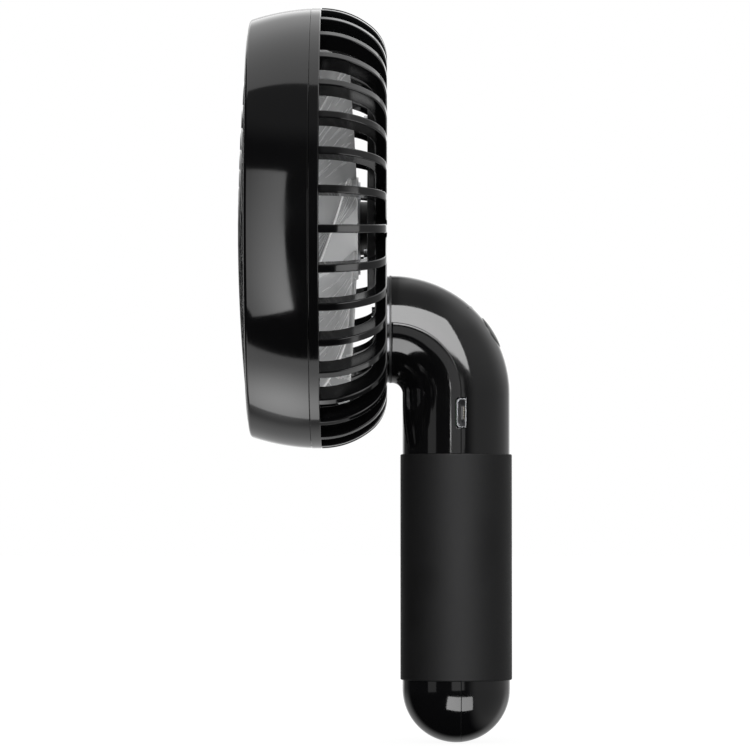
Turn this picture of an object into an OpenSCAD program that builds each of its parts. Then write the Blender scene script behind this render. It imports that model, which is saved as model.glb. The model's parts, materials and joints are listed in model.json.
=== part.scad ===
// Rechargeable fan: a round head that swivels on a bent tubular neck, with a sleeved grip.
// Origin at the middle of the grip, +Z up the grip. The fan blows towards -X.

/* [Head] */
// Outside diameter of the head at its widest
head_d = 114.7; // [95:0.1:140]
// Depth of the head from its rear plate to the rim of the front ring
head_depth = 35.7; // [33:0.1:43]
// Distance of the seam between front ring and rear cage from the rear plate
seam_z = 19.6; // [19:0.1:22]
// Wall of the front ring
ring_wall = 1.9; // [1.6:0.1:2.6]
// Height of the centre of the head above the swivel's axis
head_offset = 26.3; // [24:0.1:28]

/* [Front grille] */
// Rise of the grille's dome over the rim
grille_rise = 3.1; // [2:0.1:5]
// Number of curved ribs
grille_ribs = 24; // [18:1:30]
// Angle that each rib sweeps from the cap to the rim
grille_sweep = 80; // [50:1:90]
// Width of a grille rib
grille_rib_w = 1.3; // [1:0.1:1.6]
// Depth of a grille rib
grille_rib_t = 2.4; // [2:0.1:3]
// Radius of the centre cap
cap_r = 10.5; // [9:0.1:12]

/* [Rear cage] */
// Number of radial ribs
cage_ribs = 36; // [24:1:40]
// Width of a radial rib
cage_rib_w = 2.1; // [1.2:0.1:2.6]
// Turn of the first rib from straight up
cage_turn = 6; // [0:0.5:10]
// Depth of the ribs at the rear plate
cage_plate_t = 3.1; // [2.8:0.1:4]
// Depth of the ribs at the cage's ring
cage_rim_t = 4.5; // [4:0.1:6]
// Width of the cage's ring
cage_ring_w = 2.7; // [2:0.1:4]
// Radius of the long arc of the dome
dome_arc = 20.5; // [19:0.1:22]
// Radius of the tight arc at the rear of the dome
dome_corner = 11; // [9:0.1:12]
// Radius of the central plate
hub_plate_r = 16.4; // [15.5:0.1:18]

/* [Impeller and motor] */
// Number of blades
blades = 7; // [5:1:9]
// Gap between the blade tips and the cage's ring
tip_gap = 6.05; // [4.5:0.05:9]
// Wall of the impeller's hub round the rotor can
hub_wall = 1.3; // [1:0.05:2]
// Angle that a blade covers at its tip
blade_span = 39; // [30:1:40]
// Depth of a blade along the axis at its tip
blade_rise = 11.5; // [9:0.1:13]
// Thickness of a blade
blade_t = 1.1; // [0.8:0.1:1.5]
// Thickness of the motor's mounting plate
mount_t = 2.05; // [1.8:0.05:2.4]
// Outer radius of the rotor can
can_r = 12.1; // [10:0.1:14.6]
// Radius of the motor's shaft
shaft_r = 1; // [0.8:0.05:1.3]

/* [Neck and grip] */
// Wall of the two shells
shell_wall = 2.4; // [2:0.1:2.9]
// Room between the cell and the wall
cell_room = 2.45; // [2:0.05:3]
// Radius of the inner side of the bend
bend_in_r = 2.8; // [2:0.1:6]
// Straight tube between the sleeve and the bend
neck_len = 15.75; // [13:0.05:20]
// Length of the rubber sleeve
grip_len = 58.5; // [48:0.1:72]
// Thickness of the rubber sleeve
sleeve_t = 1.2; // [0.8:0.1:1.6]
// How far the rubber sleeve stands proud of the tube
sleeve_proud = 0.5; // [0.3:0.1:0.8]
// Distance of the shells' seam behind the tube's centre line
seam_shift = 1.2; // [0.8:0.1:2]

/* [Swivel] */
// Outer radius of the hollow spigot
spigot_r = 6; // [5:0.1:7]
// Radius of the spigot's bore
spigot_bore_r = 3.6; // [3:0.1:4]
// Thickness of the spigot's visible flange
flange_t = 0.55; // [0.4:0.05:0.8]
// Thickness of the collar on the neck's end
collar_t = 0.5; // [0.4:0.05:0.8]
// Wall of the neck's end
end_wall = 3; // [2.5:0.1:4]
// Thickness of the friction washer
washer_t = 0.5; // [0.4:0.05:0.8]

/* [Power and controls] */
// Diameter of the cell
cell_d = 18.3; // [15:0.1:22]
// Thickness of the control board
board_t = 1; // [0.8:0.1:1.2]
// Distance of the inlet below the start of the bend
usb_drop = 5.3; // [4.5:0.1:7]
// Radius of the power button
button_r = 4.5; // [4:0.1:5]
// Angle of the button round the bend, above level
button_a = 31.6; // [30:0.1:36]
// Angle of the indicator's pinholes round the bend, above level
pins_a = 47; // [46:0.1:50]
// How far the power button stands proud of the tube
button_proud = 0.35; // [0.3:0.05:0.6]
// Travel of the power button
button_travel = 0.5; // [0.3:0.05:0.6]

/* [Fits] */
// Running gap between faces that turn past each other
run_gap = 0.05; // [0.03:0.01:0.1]
// Gap round pieces that drop into a pocket
fit_gap = 0.1; // [0.05:0.01:0.15]
// Gap round the power button
button_gap = 0.3; // [0.25:0.05:0.35]
// Gap round the inlet's socket
usb_gap = 0.25; // [0.15:0.05:0.3]

/* [Hidden] */
$fn = 96;
e = 0.01;
far = 99;

// Grip and neck, in the part's own frame: the tube is as wide as the cell needs
cell_r = cell_d / 2;
bore_r = cell_r + cell_room;
tube_r = bore_r + shell_wall;
bend_r = bend_in_r + tube_r;
grip_r = tube_r + sleeve_proud;
seat_r = grip_r - sleeve_t;
grip_top = grip_len / 2;
bend_z = grip_top + neck_len;
neck_z = bend_z + bend_r;
neck_x = -bend_r;
dome_z = -grip_top - 2.25;
seam_x = seam_shift;

// Head frame: z runs forward from the rear plate, x runs up, y is the part's own Y
rear_x = neck_x - collar_t - run_gap - flange_t;
head_r = head_d / 2;
swivel_x = -head_offset;
equator_z = seam_z - 2.5;
cage_ring_z = seam_z - cage_ring_w;
pad_r = tube_r + 0.6;
rib_inset = 0.15;
rib_root = 0.4;

// Radius of the front ring at a height, at some depth below its outside
function ring_r(depth, z) = sqrt(pow(head_r - depth, 2) - pow(z - equator_z, 2));

// Lip of the cage in the front ring
lip_t = 1.6;
lip_len = 3.2;
lip_room = 0.4;
lip_r = head_r - ring_wall - fit_gap;
edge_r = 0.8;
line_t = 0.2;

// Opening of the front ring, and the grille's collar and flange in it
rim_t = 2.2;
rim_w = 2.45;
open_r = ring_r(0, head_depth) - rim_w;
collar_in_r = open_r - 2.1;
collar_rise = 0.3;
flange_z = head_depth - 2 * rim_t;
flange_r = ring_r(ring_wall, head_depth - rim_t) - fit_gap;
catch_t = 1;
catch_a = 9;
catch_z = flange_z - fit_gap - catch_t;
catch_r = ring_r(ring_wall / 2, flange_z);
cap_t = 1.5;
cap_plug_r = cap_r - 2.7;
cap_plug_t = 2.2;

// Motor stack, forward of the rear plate
mount_z = cage_plate_t + mount_t;
boss_r = 7;
boss_z = mount_z + 2.45;
tube_wall_r = 3.2;
bush_r = 2.5;
bush_len = 4;
press_gap = 0.02;
motor_board_t = 0.8;
board_z = boss_z + motor_board_t;
core_z = boss_z + 3;
core_len = 6;
coil_over = 1.3;
tube_z = core_z + core_len + 0.9;
can_wall = 0.8;
can_rear_z = boss_z - 0.6;
can_front_z = tube_z + 2.9;
magnet_t = 1.2;
air_gap = 0.4;
core_r = can_r - can_wall - magnet_t - air_gap;
poles = 6;
hub_r = can_r + hub_wall;
hub_rear_z = can_rear_z + 0.5;
hub_front_z = can_front_z + 2;
hub_edge = 3;
tip_r = head_r - cage_rim_t - tip_gap;
clip_t = 0.5;
clip_z = cage_plate_t - 0.6;
shaft_rear = clip_z - 0.6;
shaft_top = can_front_z + 1.2;
pocket_r = 3.2;
pocket_depth = 1.6;
blade_phase = -91.5;
root_span = 48;
root_sink = 0.6;
mount_tab_w = 14;
mount_tab_x = 26;
mount_screw_r = 12.9;
mount_edge = 0.4;
blind_t = 0.5;
lead_r = 0.75;
lead_x = -9.2;
lead_start = lead_x + 0.8;
channel_z = cage_plate_t - 2 * (lead_r + fit_gap);
strand_r = 0.45;
strand_y = 1.1;

// Screws
screw_r = 0.8;
screw_hole_r = screw_r + fit_gap;
screw_head_r = 1.5;
screw_head_t = 0.9;
head_room_r = screw_head_r + 2 * fit_gap;
spigot_screw_r = 8;
spigot_screw_as = [60, 180, 300];
spigot_boss_r = 10;
spigot_boss_t = 1.3;

// Swivel inside the neck, along the part's X
wall_in_x = neck_x + end_wall;
keeper_x = wall_in_x + washer_t;
lug_r = bore_r - 1.2;
keeper_r = lug_r - 1.9;
keeper_t = 1.5;
stop_r = keeper_r + 1;
lug_a = 24;
stop_gap = 1;
stop_a = 180 - lug_a - 2 * stop_gap;

// Micro-USB socket, a standard size
usb_w = 7.5;
usb_h = 2.45;
usb_wall = 0.3;
usb_corner = 0.75;
usb_depth = 5.4;
usb_mouth = 0.55;
usb_y = -sqrt(pow(tube_r, 2) - pow(seam_x, 2)) + usb_mouth;
usb_z = bend_z - usb_drop;
contact_t = 0.12;
tongue_t = 0.6;

// Cell and boards: the cell fills the tube from the dome to the ledge under the board
wrap_t = 0.15;
tab_t = 0.3;
pad_t = 1.2;
cell_pad_r = 7.4;
rib_t = 1.2;
board_x = seam_x - usb_h / 2 - board_t;
board_bottom = usb_z - usb_w / 2 - 4.85;
cell_floor = sqrt(pow(bore_r, 2) - pow(cell_r + 0.25, 2));
cell_z = dome_z - cell_floor + pad_t + tab_t;
cell_top = board_bottom - 0.2 - rib_t - pad_t - tab_t;
cell_len = cell_top - cell_z;
cradle_zs = [-grip_top + 3, 0, grip_top - 6];
strip_w = 4;
red_y = cell_r - 0.75;
board_top = bend_z + 8.5;
board_half = bore_r - 0.8;

// Controls in the button's frame: u runs out along the button's axis, v round the bend, w is -Y
button_u = bend_r + tube_r;
pins_u = button_u * cos(pins_a - button_a);
pins_v = button_u * sin(pins_a - button_a);
pin_r = 0.45;
pin_hole_r = pin_r + 0.05;
pin_count = 4;
pin_pitch = 3.5;
key_u = button_u - 7.6;
key_t = 0.8;
key_half = 7.4;
key_v1 = pins_v + 1.8;
link_r = 0.3;
link_z = board_top - 0.9;
link_ys = [-4 : 2 : 4];
link_v = (link_z - bend_z) / cos(button_a) - key_u * tan(button_a);
key_v0 = link_v - 1;
switch_w = 5.2;
switch_t = 1.5;
plunger_t = button_travel + 0.4;
plunger_r = 1.5;
plunger_u = key_u + switch_t - 0.1;
led_w = 1.6;
led_t = 0.7;
screw_y = seat_r - 2.15;
screw_seat = seam_x + 1.4;
screw_reach = 4;
screw_zs = [for (s = [-1, 1]) s * (grip_top - 8)];
shell_boss_r = 1.9;

// ---------------------------------------------------------------- helpers

// Puts a piece that is drawn in the head frame in its place
module head_place() {
    translate([rear_x, 0, neck_z + head_offset]) rotate([0, -90, 0]) children();
}

// Puts a piece that is drawn round the swivel's axis, with z running into the neck, in its place
module swivel_place(x) {
    translate([x, 0, neck_z]) rotate([0, 90, 0]) children();
}

// Puts a piece that is drawn in the button's frame in its place
module button_place() {
    translate([neck_x, 0, bend_z]) rotate([0, -button_a, 0]) rotate([0, 90, 0])
        rotate([0, 0, 90]) children();
}

// Ring with a square section between two radii and two heights
module ring(r0, r1, z0, z1) {
    rotate_extrude() translate([r0, z0]) square([r1 - r0, z1 - z0]);
}

// Ring whose outer edges are rounded
module soft_ring(r0, r1, z0, z1, edge) {
    rotate_extrude() union() {
        translate([r0, z0]) square([r1 - r0 - edge, z1 - z0]);
        translate([r0, z0 + edge]) square([r1 - r0, z1 - z0 - 2 * edge]);
        for (z = [z0 + edge, z1 - edge])
            translate([r1 - edge, z]) circle(edge, $fn = 32);
    }
}

// Round wire through a list of points, with a bend of one radius at each corner
module wire(points, r, bend = 1.6) {
    n = len(points);
    dirs = [for (i = [0 : n - 2]) (points[i + 1] - points[i]) / norm(points[i + 1] - points[i])];
    turns = [for (i = [0 : n - 1]) i == 0 || i == n - 1 ? 0 : acos(dirs[i - 1] * dirs[i])];
    cuts = [for (t = turns) bend * tan(t / 2)];
    for (i = [0 : n - 2]) {
        a = points[i] + cuts[i] * dirs[i];
        length = norm(points[i + 1] - points[i]) - cuts[i] - cuts[i + 1];
        translate(a) rotate([0, acos(dirs[i][2]), atan2(dirs[i][1], dirs[i][0])])
            cylinder(length, r, r, $fn = 32);
    }
    for (i = [1 : 1 : n - 2]) {
        u = dirs[i - 1];
        side = dirs[i] - u * (dirs[i] * u);
        x = -side / norm(side);
        z = cross(x, u);
        c = points[i] - cuts[i] * u - bend * x;
        multmatrix([[x[0], u[0], z[0], c[0]], [x[1], u[1], z[1], c[1]], [x[2], u[2], z[2], c[2]]])
            rotate_extrude(angle = turns[i]) translate([bend, 0]) circle(r, $fn = 32);
    }
}

// Small screw with its head's seat at z = 0 and its shank running down
module screw(shank) {
    difference() {
        union() {
            cylinder(screw_head_t, screw_head_r, screw_head_r);
            translate([0, 0, -shank]) cylinder(shank + e, screw_r, screw_r);
        }
        for (a = [0, 90])
            rotate([0, 0, a]) translate([-0.9, -0.18, screw_head_t - 0.45]) cube([1.8, 0.36, 1]);
    }
}

// ---------------------------------------------------------------- rear cage

// Height of the tight arc's centre, so that it meets the long arc without a corner
function corner_r(rim, arc, corner, run) =
    rim - arc + sqrt(pow(arc - corner, 2) - pow(run - corner, 2));

// Area inside a line that runs straight back to the equator, then round a dome to a flat rear
module dome_area(rim, rear, arc, corner) {
    run = equator_z - rear;
    arc_r = rim - arc;
    end_r = corner_r(rim, arc, corner, run);
    reach = 2 * arc;
    dir = [end_r - arc_r, -(run - corner)] / (arc - corner);
    intersection() {
        translate([arc_r, equator_z]) circle(arc, $fn = 192);
        polygon([[arc_r, equator_z], [arc_r, equator_z] + reach * dir,
                 [arc_r + reach, equator_z - reach], [arc_r + reach, equator_z]]);
    }
    translate([end_r, rear + corner]) circle(corner, $fn = 192);
    // the middle and the straight wall, each lapping over the arcs
    polygon([[0, rear], [end_r, rear], [end_r + 1, rear + corner], [arc_r + 1, equator_z],
             [0, equator_z]]);
    translate([0, equator_z - e]) square([rim, head_depth - equator_z]);
}

// Section of one radial rib, a hair inside the faces of the plate and the ring that it joins
module rib_area() {
    difference() {
        intersection() {
            dome_area(head_r - rib_inset, rib_inset, dome_arc, dome_corner);
            translate([0, -1]) square([head_r, 1 + cage_ring_z + rib_root]);
        }
        dome_area(head_r - cage_rim_t + rib_inset, cage_plate_t - rib_inset, dome_arc - 2.5,
                  dome_corner - 2.5);
        translate([0, -1]) square([hub_plate_r - 2, head_depth]);
    }
}

module rear_cage() {
    color("#131314") head_place() difference() {
        union() {
            ring(head_r - cage_rim_t, head_r, cage_ring_z, seam_z);
            ring(lip_r - lip_t, lip_r, seam_z - e, seam_z + lip_len);
            for (i = [0 : cage_ribs - 1])
                rotate([0, 0, i * 360 / cage_ribs + cage_turn]) rotate([90, 0, 0])
                    linear_extrude(cage_rib_w, center = true) rib_area();
            cylinder(cage_plate_t, hub_plate_r, hub_plate_r);
            translate([swivel_x, 0, 0]) cylinder(cage_plate_t, pad_r, pad_r);
            translate([mount_tab_x, 0, 0])
                cylinder(cage_plate_t, mount_tab_w / 2 + 1, mount_tab_w / 2 + 1);
            translate([0, -mount_tab_w / 2 - 1, 0]) cube([mount_tab_x, mount_tab_w + 2, cage_plate_t]);
        }
        // pocket for the end of the shaft
        translate([0, 0, cage_plate_t - pocket_depth]) cylinder(far, pocket_r, pocket_r);
        // channel of the motor's lead, from the mount's slot to the swivel
        translate([swivel_x, -lead_r - fit_gap, channel_z])
            cube([lead_start - swivel_x + fit_gap, 2 * (lead_r + fit_gap), far]);
        lead_slot(channel_z);
        // seat of the spigot
        translate([swivel_x, 0, -far / 2]) cylinder(far, spigot_bore_r, spigot_bore_r);
        translate([swivel_x, 0, -1])
            cylinder(1 + spigot_boss_t + fit_gap, spigot_boss_r + fit_gap, spigot_boss_r + fit_gap);
        spigot_screw_places() translate([0, 0, -far / 2]) cylinder(far, screw_hole_r, screw_hole_r);
        mount_screw_places() translate([0, 0, blind_t]) cylinder(far, screw_hole_r, screw_hole_r);
    }
}

// The three screws of the spigot stand round the swivel's axis
module spigot_screw_places() {
    for (a = spigot_screw_as)
        translate([swivel_x, 0, 0]) rotate([0, 0, a]) translate([spigot_screw_r, 0, 0]) children();
}

// Two screws of the motor mount stand beside the lead, the third at the end of the tab
module mount_screw_places() {
    for (a = [125, 235])
        rotate([0, 0, a]) translate([mount_screw_r, 0, 0]) children();
    translate([mount_tab_x + 2, 0, 0]) children();
}

// Slot for the strands of the lead, cut forward from a height
module lead_slot(z) {
    r = lead_r + fit_gap;
    for (y = [-strand_y, strand_y])
        translate([lead_x, y, z]) cylinder(far, r, r);
    translate([lead_x - r, -strand_y, z]) cube([2 * r, 2 * strand_y, far]);
}

// ---------------------------------------------------------------- front ring and grille

// Section of the front ring, with a rounded front edge
module front_ring_area() {
    c = [ring_r(edge_r, head_depth - edge_r), head_depth - edge_r];
    out = (c - [0, equator_z]) / norm(c - [0, equator_z]);
    difference() {
        intersection() {
            translate([0, equator_z]) circle(head_r, $fn = 256);
            translate([0, seam_z]) square([head_r + 1, head_depth - seam_z]);
        }
        // inside of the wall, opening of the grille, and seat for the lip of the cage
        intersection() {
            translate([0, equator_z]) circle(head_r - ring_wall, $fn = 256);
            translate([0, seam_z - 1]) square([head_r, head_depth - rim_t - seam_z + 1]);
        }
        translate([0, seam_z]) square([open_r, head_depth]);
        translate([0, seam_z - 1]) square([lip_r + fit_gap, 1 + lip_len + lip_room]);
        // shadow line at the seam, and the corner outside the rounded front edge
        translate([head_r - line_t, seam_z - 1]) square([far, 1 + line_t]);
        polygon([c, c + [0, far], c + [far, far], c + far * out]);
    }
    translate(c) circle(edge_r, $fn = 64);
}

module front_ring() {
    color("#151516") head_place() {
        rotate_extrude() front_ring_area();
        // catches behind the flange of the grille
        for (a = [0 : 60 : 300])
            rotate([0, 0, a]) rotate_extrude(angle = catch_a)
                translate([open_r, catch_z]) square([catch_r - open_r, catch_t]);
    }
}

// Front surface of the grille's dome, as the area behind it
module grille_dome(back) {
    dome_r = (pow(open_r, 2) + pow(grille_rise, 2)) / (2 * grille_rise);
    intersection() {
        translate([0, head_depth + grille_rise - dome_r]) circle(dome_r - back, $fn = 256);
        translate([0, flange_z]) square([head_r, far]);
    }
}

// One curved rib of the grille from the cap's seat to the collar, seen from the front
module grille_rib() {
    steps = 14;
    r0 = cap_plug_r + 0.5;
    r1 = (open_r + collar_in_r) / 2;
    turn = grille_sweep / (r1 - cap_r);
    rs = [for (i = [0 : steps]) r0 + (r1 - r0) * i / steps];
    edge = [for (r = rs) [r, (r - cap_r) * turn, atan(r * turn * PI / 180)]];
    half = grille_rib_w / 2;
    mid = [for (p = edge) p[0] * [cos(-p[1]), sin(-p[1])]];
    side = [for (p = edge) half * [sin(p[2] + p[1]), cos(p[2] + p[1])]];
    left = [for (i = [0 : steps]) mid[i] + side[i]];
    right = [for (i = [steps : -1 : 0]) mid[i] - side[i]];
    polygon(concat(left, right));
}

module front_grille() {
    color("#171718") head_place() {
        // collar that shows through the ring's opening, and the flange behind it
        ring(collar_in_r, open_r - fit_gap, flange_z, head_depth + collar_rise);
        ring(collar_in_r + 1, flange_r, flange_z, head_depth - rim_t - fit_gap);
        // seat of the centre cap
        rotate_extrude() difference() {
            grille_dome(0);
            grille_dome(grille_rib_t);
            square([cap_plug_r + fit_gap, far]);
            translate([cap_r + 1.2, 0]) square([far, far]);
            translate([0, head_depth + grille_rise - cap_t]) square([cap_r + fit_gap, far]);
        }
        intersection() {
            rotate_extrude() difference() {
                grille_dome(0);
                grille_dome(grille_rib_t);
                square([cap_r + 0.6, far]);
            }
            translate([0, 0, flange_z]) linear_extrude(far)
                for (i = [0 : grille_ribs - 1])
                    rotate([0, 0, i * 360 / grille_ribs]) grille_rib();
        }
    }
}

module grille_cap() {
    color("#1b1b1d") head_place() {
        rotate_extrude() intersection() {
            grille_dome(0);
            translate([0, head_depth + grille_rise - cap_t]) square([cap_r, far]);
        }
        translate([0, 0, head_depth + grille_rise - cap_t - cap_plug_t + e])
            cylinder(cap_plug_t, cap_plug_r, cap_plug_r);
    }
}

// ---------------------------------------------------------------- motor

module motor_mount() {
    color("#18181a") head_place() difference() {
        union() {
            soft_ring(0, hub_plate_r, cage_plate_t, mount_z, mount_edge);
            translate([mount_tab_x, 0, cage_plate_t])
                cylinder(mount_t, mount_tab_w / 2, mount_tab_w / 2);
            translate([0, -mount_tab_w / 2, cage_plate_t]) cube([mount_tab_x, mount_tab_w, mount_t]);
            cylinder(boss_z, boss_r, boss_r);
            cylinder(tube_z, tube_wall_r, tube_wall_r);
        }
        translate([0, 0, -1]) cylinder(cage_plate_t + 1, far, far);
        cylinder(far, bush_r + press_gap, bush_r + press_gap);
        lead_slot(0);
        mount_screw_places() cylinder(far, screw_hole_r, screw_hole_r);
    }
}

module mount_screws() {
    color("silver") head_place() mount_screw_places()
        translate([0, 0, mount_z]) screw(mount_z - blind_t - fit_gap);
}

module shaft_bushes() {
    color("#a8854a") head_place() for (z = [cage_plate_t + 0.3, tube_z - bush_len - 0.2])
        ring(shaft_r + run_gap, bush_r, z, z + bush_len);
}

module stator_core() {
    color("#55585c") head_place() translate([0, 0, core_z]) linear_extrude(core_len) {
        difference() {
            circle(tube_wall_r + 1.8);
            circle(tube_wall_r + press_gap);
        }
        for (i = [0 : poles - 1]) rotate(i * 360 / poles) {
            translate([tube_wall_r + 1, -0.9]) square([core_r - tube_wall_r - 1.5, 1.8]);
            intersection() {
                difference() {
                    circle(core_r);
                    circle(core_r - 1.1);
                }
                polygon([[0, 0], core_r * [2, -0.8], core_r * [2, 0.8]]);
            }
        }
    }
}

module stator_coils() {
    color("#b5652b") head_place() translate([0, 0, core_z]) for (i = [0 : poles - 1])
        rotate([0, 0, i * 360 / poles]) difference() {
            translate([tube_wall_r + 2, -1.75, -coil_over])
                cube([core_r - tube_wall_r - 3.3, 3.5, core_len + 2 * coil_over]);
            translate([0, -0.95, -0.05]) cube([core_r, 1.9, core_len + 0.1]);
        }
}

module motor_board() {
    color("#1d4a2c") head_place() ring(tube_wall_r + fit_gap, core_r, boss_z, board_z);
}

module motor_lead() {
    mid_z = cage_plate_t - lead_r - fit_gap;
    color("#2a2a2c") head_place() {
        for (y = [-strand_y, 0, strand_y])
            translate([lead_x, y, mid_z]) cylinder(boss_z - mid_z, strand_r, strand_r, $fn = 32);
        wire([[lead_start, 0, mid_z], [swivel_x, 0, mid_z], [swivel_x, 0, -flange_t - 3]], lead_r);
    }
}

// ---------------------------------------------------------------- impeller and rotor

// Point on the middle surface of a blade: t runs from root to tip, s from leading to trailing edge
function blade_point(t, s, side) =
    let (r = hub_r - root_sink + (tip_r - hub_r + root_sink) * t)
    let (span = root_span + (blade_span - root_span) * t)
    let (a = span * (0.5 - s) - 7 * t * t)
    let (rise = blade_rise + 1.2 * (1 - t))
    let (z = hub_rear_z + 0.5 + 2 * pow(t, 1.2) + rise * (0.68 * s + 0.32 * s * s))
    let (thick = blade_t * (1.15 - 0.4 * t) * sqrt(max(0.12, 1 - pow(2 * s - 1, 4))))
    let (lean = atan(rise / (span * PI / 180 * r)))
    [r * cos(a) + side * thick / 2 * sin(lean) * -sin(a),
     r * sin(a) + side * thick / 2 * sin(lean) * cos(a),
     z + side * thick / 2 * cos(lean)];

// One blade as a closed skin over a grid of points
module blade() {
    nt = 7;
    ns = 10;
    row = 2 * (ns + 1);
    points = [for (i = [0 : nt]) each concat(
        [for (j = [0 : ns]) blade_point(i / nt, j / ns, 1)],
        [for (j = [ns : -1 : 0]) blade_point(i / nt, j / ns, -1)])];
    skin = [for (i = [0 : nt - 1]) for (j = [0 : row - 1])
        let (a = i * row + j, b = i * row + (j + 1) % row)
        each [[a, b + row, b], [a, a + row, b + row]]];
    ends = [for (i = [0, nt]) for (j = [0 : ns - 1])
        let (a = i * row + j, b = a + 1, c = i * row + row - 2 - j, d = c + 1)
        each i == 0 ? [[a, c, d], [a, b, c]] : [[a, d, c], [a, c, b]]];
    polyhedron(points, concat(skin, ends));
}

module impeller() {
    color("#8f9296", 0.6) head_place() difference() {
        union() {
            rotate_extrude() difference() {
                union() {
                    translate([0, hub_rear_z]) square([hub_r, hub_front_z - hub_rear_z - hub_edge]);
                    translate([0, hub_rear_z]) square([hub_r - hub_edge, hub_front_z - hub_rear_z]);
                    translate([hub_r - hub_edge, hub_front_z - hub_edge]) circle(hub_edge);
                }
                square([can_r + press_gap, can_front_z + press_gap]);
            }
            for (i = [0 : blades - 1])
                rotate([0, 0, i * 360 / blades + blade_phase]) blade();
        }
        cylinder(shaft_top + press_gap, shaft_r + press_gap, shaft_r + press_gap);
        cylinder(can_front_z + press_gap, can_r + press_gap, can_r + press_gap);
    }
}

module rotor_can() {
    color("#9a9da1") head_place() rotate_extrude() {
        translate([can_r - can_wall, can_rear_z]) square([can_wall, can_front_z - can_rear_z]);
        translate([shaft_r, can_front_z - can_wall]) square([can_r - shaft_r - 0.5, can_wall]);
        translate([shaft_r, can_front_z - can_wall - 1.5]) square(1.6);
    }
}

module rotor_magnet() {
    color("#3c3f44") head_place()
        ring(can_r - can_wall - magnet_t, can_r - can_wall, board_z + air_gap, can_front_z - 1.4);
}

module motor_shaft() {
    color("#d3d5d8") head_place() translate([0, 0, shaft_rear])
        cylinder(shaft_top - shaft_rear, shaft_r, shaft_r);
}

module shaft_clip() {
    color("#b9bcc0") head_place() ring(shaft_r, 2.2, clip_z, clip_z + clip_t);
}

// ---------------------------------------------------------------- swivel

module swivel_spigot() {
    color("#8c8f93") swivel_place(rear_x) difference() {
        union() {
            cylinder(flange_t, tube_r - fit_gap, tube_r - fit_gap);
            translate([0, 0, -spigot_boss_t]) cylinder(spigot_boss_t + e, spigot_boss_r, spigot_boss_r);
            cylinder(keeper_x - rear_x + e, spigot_r, spigot_r);
            translate([0, 0, keeper_x - rear_x]) cylinder(keeper_t, keeper_r, keeper_r);
            // lug that meets the stop block at each end of the turn
            translate([0, 0, keeper_x - rear_x]) rotate([0, 0, 180 - lug_a / 2])
                rotate_extrude(angle = lug_a)
                    translate([keeper_r - 1, 0]) square([lug_r - keeper_r + 1, keeper_t]);
        }
        translate([0, 0, -far / 2]) cylinder(far, spigot_bore_r, spigot_bore_r);
        for (a = spigot_screw_as)
            rotate([0, 0, a]) translate([-spigot_screw_r, 0, flange_t - 0.2 - far])
                cylinder(far, screw_hole_r, screw_hole_r);
    }
}

module spigot_screws() {
    color("silver") head_place() spigot_screw_places()
        translate([0, 0, cage_plate_t]) screw(cage_plate_t + 0.2);
}

module swivel_collar() {
    color("#101011") swivel_place(neck_x - collar_t)
        ring(spigot_r + 2, tube_r, 0, collar_t);
}

module friction_washer() {
    color("#c9c2ae") swivel_place(wall_in_x)
        ring(spigot_r + run_gap, keeper_r + 0.8, 0, washer_t - run_gap);
}

// ---------------------------------------------------------------- shells of neck and grip

// Solid of the neck and grip with a tube radius for the neck, the sleeve's seat and the dome
module stick(neck, seat, dome, end_x) {
    // bend
    translate([neck_x, 0, bend_z]) rotate([90, 0, 0]) rotate_extrude(angle = 90)
        translate([bend_r, 0]) circle(neck);
    // straight end of the bend, short of the end wall for the bore
    translate([end_x, 0, neck_z]) rotate([0, 90, 0]) cylinder(neck_x - end_x, neck, neck);
    translate([0, 0, grip_top]) cylinder(neck_len, neck, neck);
    translate([0, 0, -grip_top - e]) cylinder(grip_len + 2 * e, seat, seat);
    translate([0, 0, dome_z]) cylinder(-grip_top - dome_z, dome, dome);
    // lower half of a ball, clear of the sleeve
    intersection() {
        translate([0, 0, dome_z]) sphere(dome);
        translate([0, 0, dome_z - far]) cylinder(far, far, far);
    }
}

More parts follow.
